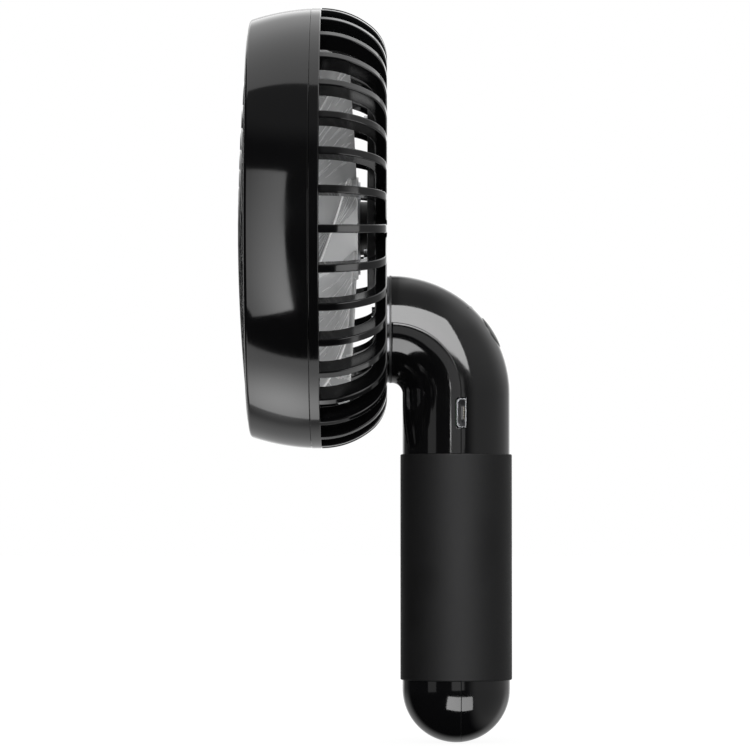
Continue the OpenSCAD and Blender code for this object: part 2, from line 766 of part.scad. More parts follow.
// Both shells in one piece, hollow, with every opening
module shell_body() {
    difference() {
        union() {
            difference() {
                stick(tube_r, seat_r, tube_r, neck_x);
                stick(bore_r, bore_r, bore_r, neck_x);
            }
            // end wall, cradle ribs and screw bosses, all inside the tube
            intersection() {
                stick(tube_r - 0.5, seat_r - 0.5, tube_r - 0.5, neck_x);
                union() {
                    swivel_place(neck_x) cylinder(end_wall, tube_r, tube_r);
                    // stop block on the far side, for the spigot's lug
                    swivel_place(wall_in_x - e) rotate([0, 0, 90 - stop_a / 2])
                        rotate_extrude(angle = stop_a)
                            translate([stop_r, 0]) square([tube_r, washer_t + keeper_t]);
                    for (z = cradle_zs)
                        translate([0, 0, z]) cylinder(rib_t, tube_r, tube_r);
                    // floor under the cell and ledge over it
                    translate([0, 0, cell_z - pad_t - tab_t - rib_t]) cylinder(rib_t, tube_r, tube_r);
                    translate([0, 0, cell_top + tab_t + pad_t]) ring(6, tube_r, 0, rib_t);
                    for (y = [-screw_y, screw_y]) for (z = screw_zs)
                        translate([-8, y, z]) rotate([0, 90, 0]) cylinder(18, shell_boss_r, shell_boss_r);
                    button_place() key_posts();
                    board_rails();
                }
            }
        }
        // room for the cell, its pads and its strip, and a hole for the lead over it
        translate([0, 0, cell_z - pad_t - tab_t])
            cylinder(cell_len + 2 * (pad_t + tab_t), cell_r + fit_gap, cell_r + fit_gap);
        translate([-cell_r - 2 * tab_t - fit_gap, -strip_w / 2 - 0.5, cell_z - pad_t - tab_t])
            cube([3, strip_w + 1, board_bottom - cell_z + 6]);
        translate([board_x - lead_r, red_y, cell_top]) cylinder(9, lead_r + fit_gap, lead_r + fit_gap);
        // slots of the control board
        translate([board_x - run_gap, -board_half - run_gap, board_bottom])
            cube([board_t + 2 * run_gap, 2 * (board_half + run_gap), board_top - board_bottom]);
        // bore of the swivel
        swivel_place(neck_x - 1) cylinder(end_wall + 1 + e, spigot_r + run_gap, spigot_r + run_gap);
        // inlet
        translate([seam_x, 0, usb_z]) rotate([90, 0, 0]) linear_extrude(far)
            usb_outline(usb_gap);
        // button and pinholes
        button_place() {
            translate([0, 0, key_u]) cylinder(far, button_r + button_gap, button_r + button_gap);
            pin_places() translate([0, 0, key_u]) cylinder(far, pin_hole_r, pin_hole_r, $fn = 32);
        }
        // shell screws: head room from the rear, shank to the front
        for (y = [-screw_y, screw_y]) for (z = screw_zs) translate([0, y, z]) rotate([0, 90, 0]) {
            translate([0, 0, screw_seat]) cylinder(far, head_room_r, head_room_r);
            translate([0, 0, -screw_reach - 1]) cylinder(far, screw_hole_r, screw_hole_r);
        }
    }
}

// Side of the seam that belongs to the front shell
module front_side() {
    translate([seam_x - far, -far, -far]) cube([far, 2 * far, far + bend_z]);
    translate([neck_x, 0, bend_z]) rotate([90, 0, 0])
        cylinder(2 * far, bend_r + seam_shift, bend_r + seam_shift, center = true);
}

module front_shell() {
    color("#141415") intersection() {
        shell_body();
        front_side();
    }
}

module rear_shell() {
    color("#141415") difference() {
        shell_body();
        front_side();
    }
}

module grip_sleeve() {
    color("#2b2b2d") rotate_extrude() difference() {
        translate([seat_r + fit_gap, -grip_top]) square([sleeve_t - fit_gap, grip_len]);
        for (s = [-1, 1]) translate([grip_r, s * grip_top]) rotate(45) square(0.5, center = true);
    }
}

module shell_screws() {
    color("silver") for (y = [-screw_y, screw_y]) for (z = screw_zs)
        translate([screw_seat, y, z]) rotate([0, 90, 0]) screw(screw_seat + screw_reach);
}

// ---------------------------------------------------------------- cell

module cell() {
    r = cell_r - wrap_t;
    color("#c8cacd") translate([0, 0, cell_z]) {
        soft_ring(0, r, 0, cell_len - 1.4, 0.5);
        cylinder(cell_len, 3.2, 3.2);
    }
}

module cell_wrap() {
    color("#3a6ea5") translate([0, 0, cell_z])
        ring(cell_r - wrap_t, cell_r, 0.6, cell_len - 2);
}

// Welded strips: a short one on top, and one from the bottom up the cell's side
module cell_tabs() {
    side_x = -cell_r - tab_t;
    color("#d8dadd") {
        translate([-2.5, -2.5, cell_top]) cube([5, red_y + 3.3, tab_t]);
        translate([side_x, -strip_w / 2, cell_z - tab_t]) cube([-side_x + 2.5, strip_w, tab_t]);
        translate([side_x, -strip_w / 2, cell_z - tab_t])
            cube([tab_t, strip_w, board_bottom + 4 - cell_z + tab_t]);
    }
}

module cell_pads() {
    color("#4a4a4a") {
        translate([0, 0, cell_top + tab_t]) cylinder(pad_t, cell_pad_r, cell_pad_r);
        translate([0, 0, cell_z - tab_t - pad_t]) cylinder(pad_t, cell_pad_r, cell_pad_r);
    }
}

module cell_leads() {
    color("#a02020") translate([board_x - lead_r, red_y, cell_top + tab_t])
        cylinder(board_bottom + 4 - cell_top - tab_t, lead_r, lead_r, $fn = 32);
    color("#202020") translate([-cell_r, 0, board_bottom + 2.5]) rotate([0, 90, 0])
        cylinder(board_x + cell_r, lead_r, lead_r, $fn = 32);
}

// ---------------------------------------------------------------- boards

module control_board() {
    color("#1f5a34") translate([board_x, -board_half, board_bottom])
        cube([board_t, 2 * board_half, board_top - board_bottom]);
}

// Grooved rails inside the front shell carry the edges of the control board
module board_rails() {
    for (s = [-1, 1]) for (z = [board_bottom, board_top - 5])
        translate([board_x - 1.2, s * board_half - 1.2, z]) cube([board_t + 2.2, 2.4, 3]);
}

// Chips, coil and capacitors on both faces of the control board
module board_parts() {
    front = board_x;
    back = board_x + board_t;
    color("#2c2d30") {
        translate([back, 0.5, board_bottom + 3]) cube([1.6, 5, 4]);
        translate([back, -5.5, board_bottom + 3]) cube([1.2, 3, 3]);
        translate([front - 3.2, -3, board_bottom + 12]) cube([3.2, 6, 6]);
        translate([front - 1.3, 4.4, board_bottom + 13]) cube([1.3, 3.5, 5]);
        translate([back, 3.6, board_bottom + 11]) cube([1.1, 4, 4]);
    }
}

// Puts a piece that is drawn with z running out of the inlet in its place
module usb_place() {
    translate([seam_x, usb_y + usb_depth, usb_z]) rotate([90, 0, 0]) children();
}

// Outline of the inlet's socket, grown on all sides
module usb_outline(grow) {
    h = usb_h / 2 + grow;
    w = usb_w / 2 + grow;
    cut_h = usb_corner * 0.8;
    polygon([[-h, -w + usb_corner], [-h + cut_h, -w], [h, -w], [h, w], [-h + cut_h, w],
             [-h, w - usb_corner]]);
}

module usb_shell() {
    color("#c6c8cb") usb_place() difference() {
        linear_extrude(usb_depth) usb_outline(0);
        translate([0, 0, usb_wall]) linear_extrude(usb_depth) usb_outline(-usb_wall);
    }
}

module usb_tongue() {
    color("#111111") usb_place() {
        translate([-0.05, -1.75, usb_wall]) cube([tongue_t, 3.5, usb_depth - 1.2]);
        translate([0, 0, usb_wall]) linear_extrude(1) usb_outline(-usb_wall);
    }
}

module usb_contacts() {
    color("#d6a94b") usb_place() for (i = [-2 : 2])
        translate([tongue_t - 0.05, i * 0.65 - 0.15, usb_wall + 1]) cube([contact_t, 0.3, usb_depth - 2.4]);
}

// ---------------------------------------------------------------- button, switch and indicator

function pin_w(i) = (i - (pin_count - 1) / 2) * pin_pitch;

module pin_places() {
    for (i = [0 : pin_count - 1])
        translate([pin_w(i), pins_v, 0]) children();
}

module key_board() {
    color("#1f5a34") difference() {
        button_place() translate([-key_half, key_v0, key_u - key_t])
            cube([2 * key_half, key_v1 - key_v0, key_t]);
        for (y = link_ys) translate([board_x, y, link_z]) rotate([0, 90, 0])
            cylinder(far, link_r + fit_gap, link_r + fit_gap);
    }
}

// Posts in the rear shell that carry the key board
module key_posts() {
    for (s = [-1, 1]) translate([s * (key_half - 0.9) - 0.9, -1.6, key_u]) cube([1.8, 3.2, 20]);
}

module key_switch() {
    color("#2b2b2b") button_place() difference() {
        translate([-switch_w / 2, -switch_w / 2, key_u]) cube([switch_w, switch_w, switch_t]);
        translate([0, 0, plunger_u - button_travel - fit_gap])
            cylinder(far, plunger_r + fit_gap, plunger_r + fit_gap);
    }
}

module key_plunger() {
    color("#e8e4da") button_place() translate([0, 0, plunger_u])
        cylinder(plunger_t, plunger_r, plunger_r);
}

module status_leds() {
    color("#f2f3ee") button_place() pin_places()
        translate([-led_w / 2, -led_w / 2, key_u]) cube([led_w, led_w, led_t]);
}

// Height of the tube's surface over the bend's centre, at a place across and round the bend
function surface_u(w, v) = sqrt(pow(bend_r + sqrt(pow(tube_r, 2) - pow(w, 2)), 2) - pow(v, 2));

module light_guide() {
    bar = (pin_count - 1) * pin_pitch + 1.6;
    base_u = key_u + led_t;
    color("#dfe6ea", 0.7) button_place() {
        translate([-bar / 2, pins_v - 1, base_u]) cube([bar, 2, 1]);
        for (i = [0 : pin_count - 1])
            translate([pin_w(i), pins_v, base_u])
                cylinder(surface_u(pin_w(i), pins_v) - 0.3 - base_u, pin_r, pin_r, $fn = 32);
    }
}

module power_button() {
    skirt_u = plunger_u + plunger_t;
    skirt_r = button_r + 0.9;
    skirt_top = bend_r + sqrt(pow(bore_r, 2) - pow(skirt_r, 2)) - 0.15;
    color("#161617") button_place() {
        intersection() {
            translate([0, 0, skirt_u]) cylinder(far, button_r, button_r);
            button_skin();
        }
        translate([0, 0, skirt_u]) cylinder(skirt_top - skirt_u, skirt_r, skirt_r);
    }
}

// Outside of the bend in the button's frame, so that the button's face follows the tube
module button_skin() {
    rotate([0, 90, 0]) rotate_extrude() translate([bend_r, 0]) circle(tube_r + button_proud);
}

// Row of pins from the control board through the key board
module board_link() {
    start = board_x + board_t;
    far_x = neck_x + (key_u - (link_z - bend_z) * sin(button_a)) / cos(button_a) + 0.5;
    color("#c9ccd0") for (y = link_ys) translate([start, y, link_z]) rotate([0, 90, 0])
        cylinder(far_x - start, link_r, link_r, $fn = 32);
}

// Lead from the swivel's bore to the front face of the control board
module neck_lead() {
    start_x = rear_x + flange_t + 3;
    turn_x = board_x - lead_r;
    color("#2a2a2c") wire([[start_x, 0, neck_z], [turn_x, 0, neck_z], [turn_x, 0, board_top - 3]], lead_r);
}

front_ring();
front_grille();
grille_cap();
rear_cage();
motor_mount();
mount_screws();
shaft_bushes();
stator_core();
stator_coils();
motor_board();
motor_lead();
swivel_spigot();
spigot_screws();
impeller();
rotor_can();
rotor_magnet();
motor_shaft();
shaft_clip();
front_shell();
rear_shell();
grip_sleeve();
shell_screws();
swivel_collar();
friction_washer();
cell();
cell_wrap();
cell_tabs();
cell_pads();
cell_leads();
control_board();
board_parts();
board_link();
usb_shell();
usb_tongue();
usb_contacts();
key_board();
key_switch();
status_leds();
light_guide();
neck_lead();
power_button();
key_plunger();
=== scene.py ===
# %% [markdown]
# # A small rechargeable fan, finished on its measured frame
# The fan is a round guarded head on a bent tube. Its engineering model is loaded as a fixed frame,
# with every part at its true place in metres. This lesson gives it what light falls on: new skins
# where the eye sees rounded edges, and a finish for every part.

# %% Load the frame
import json
import math

import bpy
import numpy as np
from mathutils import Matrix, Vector

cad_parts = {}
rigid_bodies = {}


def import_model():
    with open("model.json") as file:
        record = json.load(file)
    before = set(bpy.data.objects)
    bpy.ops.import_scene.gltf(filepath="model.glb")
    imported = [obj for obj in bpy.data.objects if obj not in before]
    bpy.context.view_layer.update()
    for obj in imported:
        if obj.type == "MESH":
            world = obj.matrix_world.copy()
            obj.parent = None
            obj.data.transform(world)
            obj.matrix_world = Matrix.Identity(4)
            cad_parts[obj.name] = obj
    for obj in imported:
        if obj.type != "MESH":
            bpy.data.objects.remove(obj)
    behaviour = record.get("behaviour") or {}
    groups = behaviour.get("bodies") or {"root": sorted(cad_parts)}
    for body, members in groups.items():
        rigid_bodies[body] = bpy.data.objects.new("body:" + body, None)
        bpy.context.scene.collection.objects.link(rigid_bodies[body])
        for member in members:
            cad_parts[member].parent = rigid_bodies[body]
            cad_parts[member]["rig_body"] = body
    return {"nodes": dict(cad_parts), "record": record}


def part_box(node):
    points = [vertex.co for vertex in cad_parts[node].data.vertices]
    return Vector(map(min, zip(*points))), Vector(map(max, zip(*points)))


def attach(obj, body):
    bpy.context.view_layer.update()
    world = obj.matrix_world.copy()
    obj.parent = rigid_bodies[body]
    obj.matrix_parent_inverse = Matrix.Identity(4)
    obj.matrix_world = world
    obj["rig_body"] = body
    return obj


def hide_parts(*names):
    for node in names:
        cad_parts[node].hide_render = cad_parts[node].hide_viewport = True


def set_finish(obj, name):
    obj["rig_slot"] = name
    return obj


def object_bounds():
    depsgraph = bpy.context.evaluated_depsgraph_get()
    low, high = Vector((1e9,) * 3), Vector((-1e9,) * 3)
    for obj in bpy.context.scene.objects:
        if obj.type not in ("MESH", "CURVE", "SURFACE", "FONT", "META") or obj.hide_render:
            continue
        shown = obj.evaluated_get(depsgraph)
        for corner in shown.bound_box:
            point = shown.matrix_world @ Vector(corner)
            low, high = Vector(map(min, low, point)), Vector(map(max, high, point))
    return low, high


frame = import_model()
cad_box = [list(corner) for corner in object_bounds()]
MM = 0.001
print("parts in the frame:", len(frame["nodes"]), "box:", np.round(cad_box, 4).tolist())

# %% [markdown]
# ## Sizes from the frame
# The skins have to sit exactly where the engineering parts are. So the main sizes are read from
# the boxes of those parts, in millimetres, and only sizes that no box shows are written out. The
# head has its own frame: a radius, a turn round its axis, and a height forward of its rear plate.

# %% Sizes of the head and the tube
box = {name: np.array(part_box(name)) / MM for name in frame["nodes"]}
head_z = box["rear_cage"][:, 2].mean()
head_r = np.ptp(box["rear_cage"][:, 2]) / 2
rear_x = box["rear_cage"][1, 0]
seam_h = rear_x - box["front_ring"][1, 0]
lip_h = rear_x - box["rear_cage"][0, 0]
rim_h = rear_x - box["front_ring"][0, 0]
collar_h = rim_h + 0.3
dome_h = rear_x - box["front_grille"][0, 0]
equator_h = seam_h - 2.5
tube_r = box["front_shell"][1, 1]
seam_x = box["front_shell"][1, 0]
neck_x = box["front_shell"][0, 0]
bend_r = -neck_x
bend_z = box["rear_shell"][1, 2] - bend_r - tube_r
dome_z = box["front_shell"][0, 2] + tube_r
grip_r = box["grip_sleeve"][1, 0]
grip_z = box["grip_sleeve"][1, 2]
print("head radius %.2f, depth %.2f, tube radius %.2f mm" % (head_r, rim_h, tube_r))

# %% [markdown]
# ## Surfaces from numbers
# Nearly every part is a moulding whose shape follows a rule: a profile turned round an axis, or a
# section carried along a path. Such a rule fills a grid of points with numpy in one go, which is
# quicker than pushing points by hand and keeps the skin exactly on its sizes.

# %% Skins
def triples(*axes):
    """Coordinates of shapes that fit together, as one array of triples."""
    return np.stack(np.broadcast_arrays(*axes), -1)


def oriented(points, quads, fans):
    """Faces turned so that they look outwards. The volume inside is a sixth of the sum, over all
    triangles, of the triple product of their corners, and it is negative when they look in."""
    triangles = np.concatenate([quads[:, [0, 1, 2]], quads[:, [0, 2, 3]], fans])
    a, b, c = (points[triangles[:, i]] for i in range(3))
    volume = np.einsum("ij,ij->", a, np.cross(b, c)) / 6
    return (points, quads, fans) if volume > 0 else (points, quads[:, ::-1], fans[:, ::-1])


def skin(points, loop=False):
    """Skin over a grid of points whose columns close on themselves. The rows close too where loop
    is set; otherwise a fan from the middle of the first and last row closes each end."""
    rows, columns = points.shape[:2]
    index = np.arange(rows * columns).reshape(rows, columns)
    here, there = (index, np.roll(index, -1, 0)) if loop else (index[:-1], index[1:])
    quads = np.stack([here, np.roll(here, -1, 1), np.roll(there, -1, 1), there], -1).reshape(-1, 4)
    flat = points.reshape(-1, 3)
    fans = np.empty((0, 3), int)
    if not loop:
        first, last = index[0], index[-1]
        middles = rows * columns + np.arange(2)
        fans = np.concatenate([
            np.stack([np.full(columns, middles[0]), np.roll(first, -1), first], -1),
            np.stack([np.full(columns, middles[1]), last, np.roll(last, -1)], -1)])
        flat = np.concatenate([flat, points[[0, -1]].mean(1)])
    return oriented(flat, quads, fans)


def joined(*skins):
    """Several closed skins as one, with their faces renumbered."""
    points, quads, fans = zip(*skins)
    starts = np.cumsum([0] + [len(part) for part in points])
    quads, fans = ([face + start for face, start in zip(faces, starts)] for faces in (quads, fans))
    return tuple(np.concatenate(parts) for parts in (points, quads, fans))


print("a skin over 3 rings of 4 points has", len(skin(np.ones((3, 4, 3)))[1]), "sides")

# %% [markdown]
# ## Pieces
# Whole arrays of points and corners go into a mesh at once. Each piece is then tied to the body it
# moves with and to the parts it stands for.

# %% Pieces
def in_scene(name, data):
    """A new object that holds some data, put into the scene."""
    made = bpy.data.objects.new(name, data)
    bpy.context.scene.collection.objects.link(made)
    return made


def piece(name, surface, body, slot, *nodes):
    """Puts a skin in millimetres into a mesh in metres: it rides on a body, takes its finish from
    a slot, and stands for some parts of the frame."""
    points, quads, fans = surface
    mesh = bpy.data.meshes.new(name)
    mesh.vertices.add(len(points))
    mesh.vertices.foreach_set("co", (points * MM).ravel())
    mesh.loops.add(quads.size + fans.size)
    mesh.loops.foreach_set("vertex_index", np.concatenate([quads.ravel(), fans.ravel()]))
    sizes = np.repeat([4, 3], [len(quads), len(fans)])
    mesh.polygons.add(len(sizes))
    mesh.polygons.foreach_set("loop_start", np.cumsum(sizes) - sizes)
    mesh.polygons.foreach_set("use_smooth", np.ones(len(sizes), bool))
    mesh.update(calc_edges=True)
    mesh.validate()
    made = in_scene(name, mesh)
    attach(made, body)
    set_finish(made, slot)
    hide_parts(*nodes)
    print("%s: %d triangles" % (name, 2 * len(quads) + len(fans)))
    return made

# %% [markdown]
# ## Outlines with round corners
# No moulded edge is truly sharp: the tool leaves a small radius, and that radius is what catches
# a thin line of light. An outline is written as its corners, each with a radius. A radius of zero
# keeps the point as it is, which is how a curved side is given.

# %% Round the corners of an outline
def rounded(corners, radii, steps=6, near=0.04):
    """Closed outline. At each corner an arc of its radius touches both sides, and a point just
    past each end of the arc keeps the sides flat when the shading is smoothed."""
    corners = np.asarray(corners, float)
    radii = np.broadcast_to(radii, len(corners)).astype(float)
    back = np.roll(corners, 1, 0) - corners
    ahead = np.roll(corners, -1, 0) - corners
    back /= np.linalg.norm(back, axis=1, keepdims=True)
    ahead /= np.linalg.norm(ahead, axis=1, keepdims=True)
    half = np.arccos(np.clip((back * ahead).sum(1), -1, 1)) / 2
    reach = (radii / np.tan(half))[:, None]
    inwards = back + ahead
    inwards /= np.maximum(np.linalg.norm(inwards, axis=1, keepdims=True), 1e-9)
    centre = corners + inwards * (radii / np.sin(half))[:, None]
    start, end = corners + back * reach - centre, corners + ahead * reach - centre
    first = np.arctan2(start[:, 1], start[:, 0])
    turn = (np.arctan2(end[:, 1], end[:, 0]) - first + np.pi) % (2 * np.pi) - np.pi
    angle = first[:, None] + turn[:, None] * np.linspace(0, 1, steps + 1)
    arc = centre[:, None] + radii[:, None, None] * np.stack([np.cos(angle), np.sin(angle)], -1)
    rows = np.concatenate([(corners + back * (reach + near))[:, None], arc,
                           (corners + ahead * (reach + near))[:, None]], 1)
    rows[radii == 0] = corners[radii == 0][:, None]
    keep = np.ones(rows.shape[:2], bool)
    keep[radii == 0, 1:] = False
    return rows[keep]


def head_place(radius, turn, height, across=0.0):
    """A radius at a turn round the head's axis, a height forward of its rear plate, and a step
    across the radius, as a place in the fan's own frame."""
    up = radius * np.cos(turn) - across * np.sin(turn)
    side = radius * np.sin(turn) + across * np.cos(turn)
    return triples(rear_x - height, side, head_z + up)


def grip_place(radius, turn, height):
    """A radius at a turn round the grip's axis, and a height."""
    return triples(radius * np.cos(turn), radius * np.sin(turn), height)


def lathe(profile, place, turns=288, loop=True):
    """Profile of radius and height, turned once round an axis."""
    angle = np.linspace(0, 2 * np.pi, turns, endpoint=False)
    return skin(place(profile[:, :1], angle[None], profile[:, 1:]), loop)


def around(surface, count):
    """Copies of a skin, evenly turned round the head's axis."""
    points, quads, fans = surface
    angle = 2 * np.pi * np.arange(count)[:, None] / count
    side, up = points[None, :, 1], points[None, :, 2] - head_z
    turned = triples(points[None, :, 0], side * np.cos(angle) + up * np.sin(angle),
                     up * np.cos(angle) - side * np.sin(angle) + head_z)
    step = np.arange(count)[:, None, None] * len(points)
    return turned.reshape(-1, 3), (quads + step).reshape(-1, 4), (fans + step).reshape(-1, 3)


square = rounded([(0, 0), (1, 0), (1, 1), (0, 1)], 0.2)
print("a square with round corners has", len(square), "points")

# %% [markdown]
# ## Front ring
# The ring is the glossy band round the front of the head. Its outside is a zone of a ball, so the
# light slides over it without a break, and its rear edge meets the cage in a fine dark seam. A
# turned profile is the natural way to make it: the seam is a real gap between two rounded lips.

# %% Front ring
def ball_r(depth, height):
    """Radius at a height of a ball round the head's middle, some depth below the outside: the root
    of the ball's radius squared less the square of the height above its equator."""
    return np.sqrt((head_r - depth) ** 2 - (height - equator_h) ** 2)


seam_gap = 0.06
ring_wall, rim_w, rim_t = 1.9, 2.45, 2.2
under_rim = rim_h - rim_t
open_r = ball_r(0, rim_h) - rim_w
seat_r = head_r - ring_wall
seat_h = lip_h + 0.4
ring_foot = seam_h + seam_gap
outer_h = np.linspace(ring_foot + 1, rim_h - 1.7, 16)
inner_h = np.linspace(under_rim - 1, seat_h + 0.6, 12)
ring_side = np.stack([ball_r(0, outer_h), outer_h], -1)
ring_inside = np.stack([ball_r(ring_wall, inner_h), inner_h], -1)
ring_corners = np.concatenate([
    [(ball_r(0, ring_foot), ring_foot)], ring_side,
    [(ball_r(0, rim_h), rim_h), (open_r, rim_h), (open_r, under_rim),
     (ball_r(ring_wall, under_rim), under_rim)], ring_inside,
    [(ball_r(ring_wall, seat_h), seat_h), (seat_r, seat_h), (seat_r, ring_foot)]])
ring_radii = np.concatenate([[0.13], 0 * outer_h, [1.15, 0.3, 0.2, 0.3], 0 * inner_h,
                             [0.1, 0.1, 0.1]])
front_ring = piece("front_ring_skin", lathe(rounded(ring_corners, ring_radii), head_place, 320),
                   "head", "black_gloss", "front_ring")

# %% [markdown]
# ## Front grille
# The grille keeps fingers off the blades: thin ribs curl from a centre cap out to a collar, all on
# one shallow dome. One rib is a small section with rounded edges, carried along a spiral that lies
# on the dome, and the rest are copies turned round the axis.

# %% Grille ribs, collar and cap
dome_rise = dome_h - rim_h
grille_r = (open_r ** 2 + dome_rise ** 2) / (2 * dome_rise)
cap_r, plug_r, plug_deep = 10.5, 7.8, 2
curl_count, rib_root, rib_depth = 24, cap_r + 0.6, 2.4
collar_in_r, collar_out_r = open_r - 2.1, open_r - 0.1
flange_h, flange_r = rim_h - 2 * rim_t, ball_r(ring_wall, under_rim) - 0.1


def grille_dome(radius, depth=0.0):
    """Height of the grille's dome at a radius, some depth below its outside: the height of its
    middle plus the root of its radius squared less the square of the radius asked for."""
    return dome_h - grille_r + np.sqrt((grille_r - depth) ** 2 - radius ** 2)


def grille_rib(width=1.3, sweep=math.radians(80), rows=44):
    """One rib. Its path turns evenly with its radius, and its section hangs from the dome."""
    radius = np.linspace(rib_root, (open_r + collar_in_r) / 2, rows)
    rate = sweep / (radius[-1] - cap_r)
    turn = -(radius - cap_r) * rate
    section = rounded([(-width / 2, 0), (width / 2, 0), (width / 2, -rib_depth),
                       (-width / 2, -rib_depth)], [0.5, 0.5, 0.3, 0.3], 5)
    slope = np.arctan(radius * rate)
    across = section[None, :, 0] * np.cos(slope)[:, None]
    along = section[None, :, 0] * np.sin(slope)[:, None]
    height = grille_dome(radius)[:, None] + section[None, :, 1]
    return skin(head_place(radius[:, None] + along, turn[:, None], height, across))


collar = rounded([(collar_in_r, flange_h), (collar_out_r, flange_h), (collar_out_r, collar_h),
                  (collar_in_r, collar_h)], [0.2, 0.1, 0.3, 0.4])
flange = rounded([(collar_in_r + 1, flange_h), (flange_r, flange_h), (flange_r, under_rim - 0.1),
                  (collar_in_r + 1, under_rim - 0.1)], 0.15)
cap_h, cap_room = dome_h - 1.5, 0.1
seat_out, seat_in, hole_r = cap_r + 1.2, cap_r + cap_room, plug_r + cap_room
seat = rounded([(hole_r, grille_dome(plug_r, rib_depth)),
                (seat_out, grille_dome(seat_out, rib_depth)), (seat_out, grille_dome(seat_out)),
                (seat_in, grille_dome(seat_in)), (seat_in, cap_h), (hole_r, cap_h)],
               [0.2, 0.3, 0.3, 0.2, 0.1, 0.2])
grille = joined(*(lathe(line, head_place) for line in (collar, flange, seat)),
                around(grille_rib(), curl_count))
front_grille = piece("front_grille_skin", grille, "head", "black_gloss", "front_grille")
cap_pole_r, cap_round = 0.4, 0.45
cap_radius = np.linspace(cap_pole_r, cap_r - 1, 10)
cap_side = np.stack([cap_radius, grille_dome(cap_radius)], -1)
cap_edge = rounded([(cap_r, cap_h - 2), (cap_r, grille_dome(cap_r)),
                    (cap_r - 2, grille_dome(cap_r - 2))], [0, cap_round, 0])[1:-1]
cap_under = [(cap_r, cap_h), (plug_r, cap_h), (plug_r, cap_h - plug_deep),
             (cap_pole_r, cap_h - plug_deep)]
cap_line = np.concatenate([cap_side, cap_edge[::-1], cap_under])
grille_cap = piece("grille_cap_skin", lathe(cap_line, head_place, 160, False), "head",
                   "black_gloss", "grille_cap")

# %% [markdown]
# ## Rear cage
# The cage closes the back of the head. It has a ring that carries the seam, thirty-six ribs that
# bend round to the back, and a plate for the motor and the swivel. Each rib runs between an outer
# and an inner line made of the same four parts: a short straight, a long arc, a tight arc and a
# flat. Matching points on the two lines carry one rounded section.

# %% Lines of a cage rib
rib_count, rib_turn, rib_sunk = 36, math.radians(6), 0.04
cage_wall, plate_top, flat_r = 4.5, 3.1, 14.4
outer_arc, outer_corner, inner_arc, inner_corner = 20.5, 11, 18, 8.5


def dome_line(rim, rear, arc, corner, counts=(2, 26, 16, 6)):
    """Line down the wall, round a long arc, round a tight arc and in along the flat rear. The two
    arcs meet without a corner, on the line through both centres."""
    run = equator_h - rear
    arc_r = rim - arc
    end_r = arc_r + math.sqrt((arc - corner) ** 2 - (run - corner) ** 2)
    meet = math.atan2(-(run - corner), end_r - arc_r)
    wall_h = np.linspace(seam_h - 2.3, equator_h + 0.1, counts[0])
    wall = np.stack([np.full(counts[0], rim), wall_h], -1)
    long_turn = np.linspace(0, meet, counts[1])
    tight_turn = np.linspace(meet, -np.pi / 2, counts[2] + 1)[1:]
    long_arc = np.stack([arc_r + arc * np.cos(long_turn), equator_h + arc * np.sin(long_turn)], -1)
    tight_arc = np.stack([end_r + corner * np.cos(tight_turn),
                          rear + corner + corner * np.sin(tight_turn)], -1)
    flat = np.stack([np.linspace(end_r, flat_r, counts[3] + 1)[1:], np.full(counts[3], rear)], -1)
    return np.concatenate([wall, long_arc, tight_arc, flat])


def cage_rib(width=2.1, outer_edge=0.33, inner_edge=0.3):
    """The first rib. Each section spans from the outer line to the inner one, square to the head's
    axis, with its four edges rounded."""
    outer = dome_line(head_r - rib_sunk, rib_sunk, outer_arc, outer_corner)
    inner = dome_line(head_r - cage_wall, plate_top - rib_sunk, inner_arc, inner_corner)
    inwards = inner - outer
    depth = np.linalg.norm(inwards, axis=1, keepdims=True)
    section = rounded([(0, -width / 2), (0, width / 2), (1, width / 2), (1, -width / 2)],
                      [outer_edge, outer_edge, inner_edge, inner_edge], 5)
    from_inner = section[:, 0] > 0.5 * (section[:, 0].max() + section[:, 0].min()) - 0.02
    step = np.where(from_inner, section[:, 0] - 1 + depth, section[:, 0])[..., None]
    line = outer[:, None] + (inwards / depth)[:, None] * step
    return skin(head_place(line[..., 0], rib_turn, line[..., 1], section[None, :, 1]))


print("a cage rib has", len(cage_rib()[0]), "points")

# %% [markdown]
# ## Plate of the cage
# Seen from behind, the plate is a disc, a round pad for the swivel and a tab, melted together. A
# distance rule gives that outline with its fillets, with no arcs and tangents to solve.

# %% Cage plate
disc_r, pad_r, tab_r = 16.4, 14.6, 8
pad_x, tab_x = -26.3, 26


def capsule(x, y, x0, x1, radius):
    """Distance from a point to the edge of a round-ended bar along x, negative inside."""
    return np.hypot(x - np.clip(x, x0, x1), y) - radius


def plate_edge(angle, start, blend=2.5, beyond=60.0, halvings=40):
    """Distance from a start inside the plate to its edge, for each direction. The three shapes
    melt where the sum of their falling exponentials reaches one, and that edge is found by
    halving an interval again and again, for all directions at once."""
    low, high = np.zeros_like(angle), np.full_like(angle, beyond)
    for _ in range(halvings):
        middle = (low + high) / 2
        x, y = start + middle * np.cos(angle), middle * np.sin(angle)
        parts = np.stack([capsule(x, y, 0, 0, disc_r), capsule(x, y, pad_x, pad_x, pad_r),
                          capsule(x, y, 0, tab_x, tab_r)])
        inside = -blend * np.log(np.exp(-parts / blend).sum(0)) < 0
        low, high = np.where(inside, middle, low), np.where(inside, high, middle)
    return low


def plate(edge=0.15, start=-13.0, rim=8):
    """Flat plate with its outline rounded at both faces: the outline is drawn in by as much as the
    profile of a rounded wall asks for."""
    angle = np.linspace(0, 2 * np.pi, 384, endpoint=False)
    reach = plate_edge(angle, start)
    wall = rounded([(-rim, 0), (0, 0), (0, plate_top), (-rim, plate_top)], [0, edge, edge, 0])
    reach = reach[None] + wall[:, :1]
    x, y = start + reach * np.cos(angle), reach * np.sin(angle)
    return skin(triples(rear_x - wall[:, 1:], y, head_z + x))


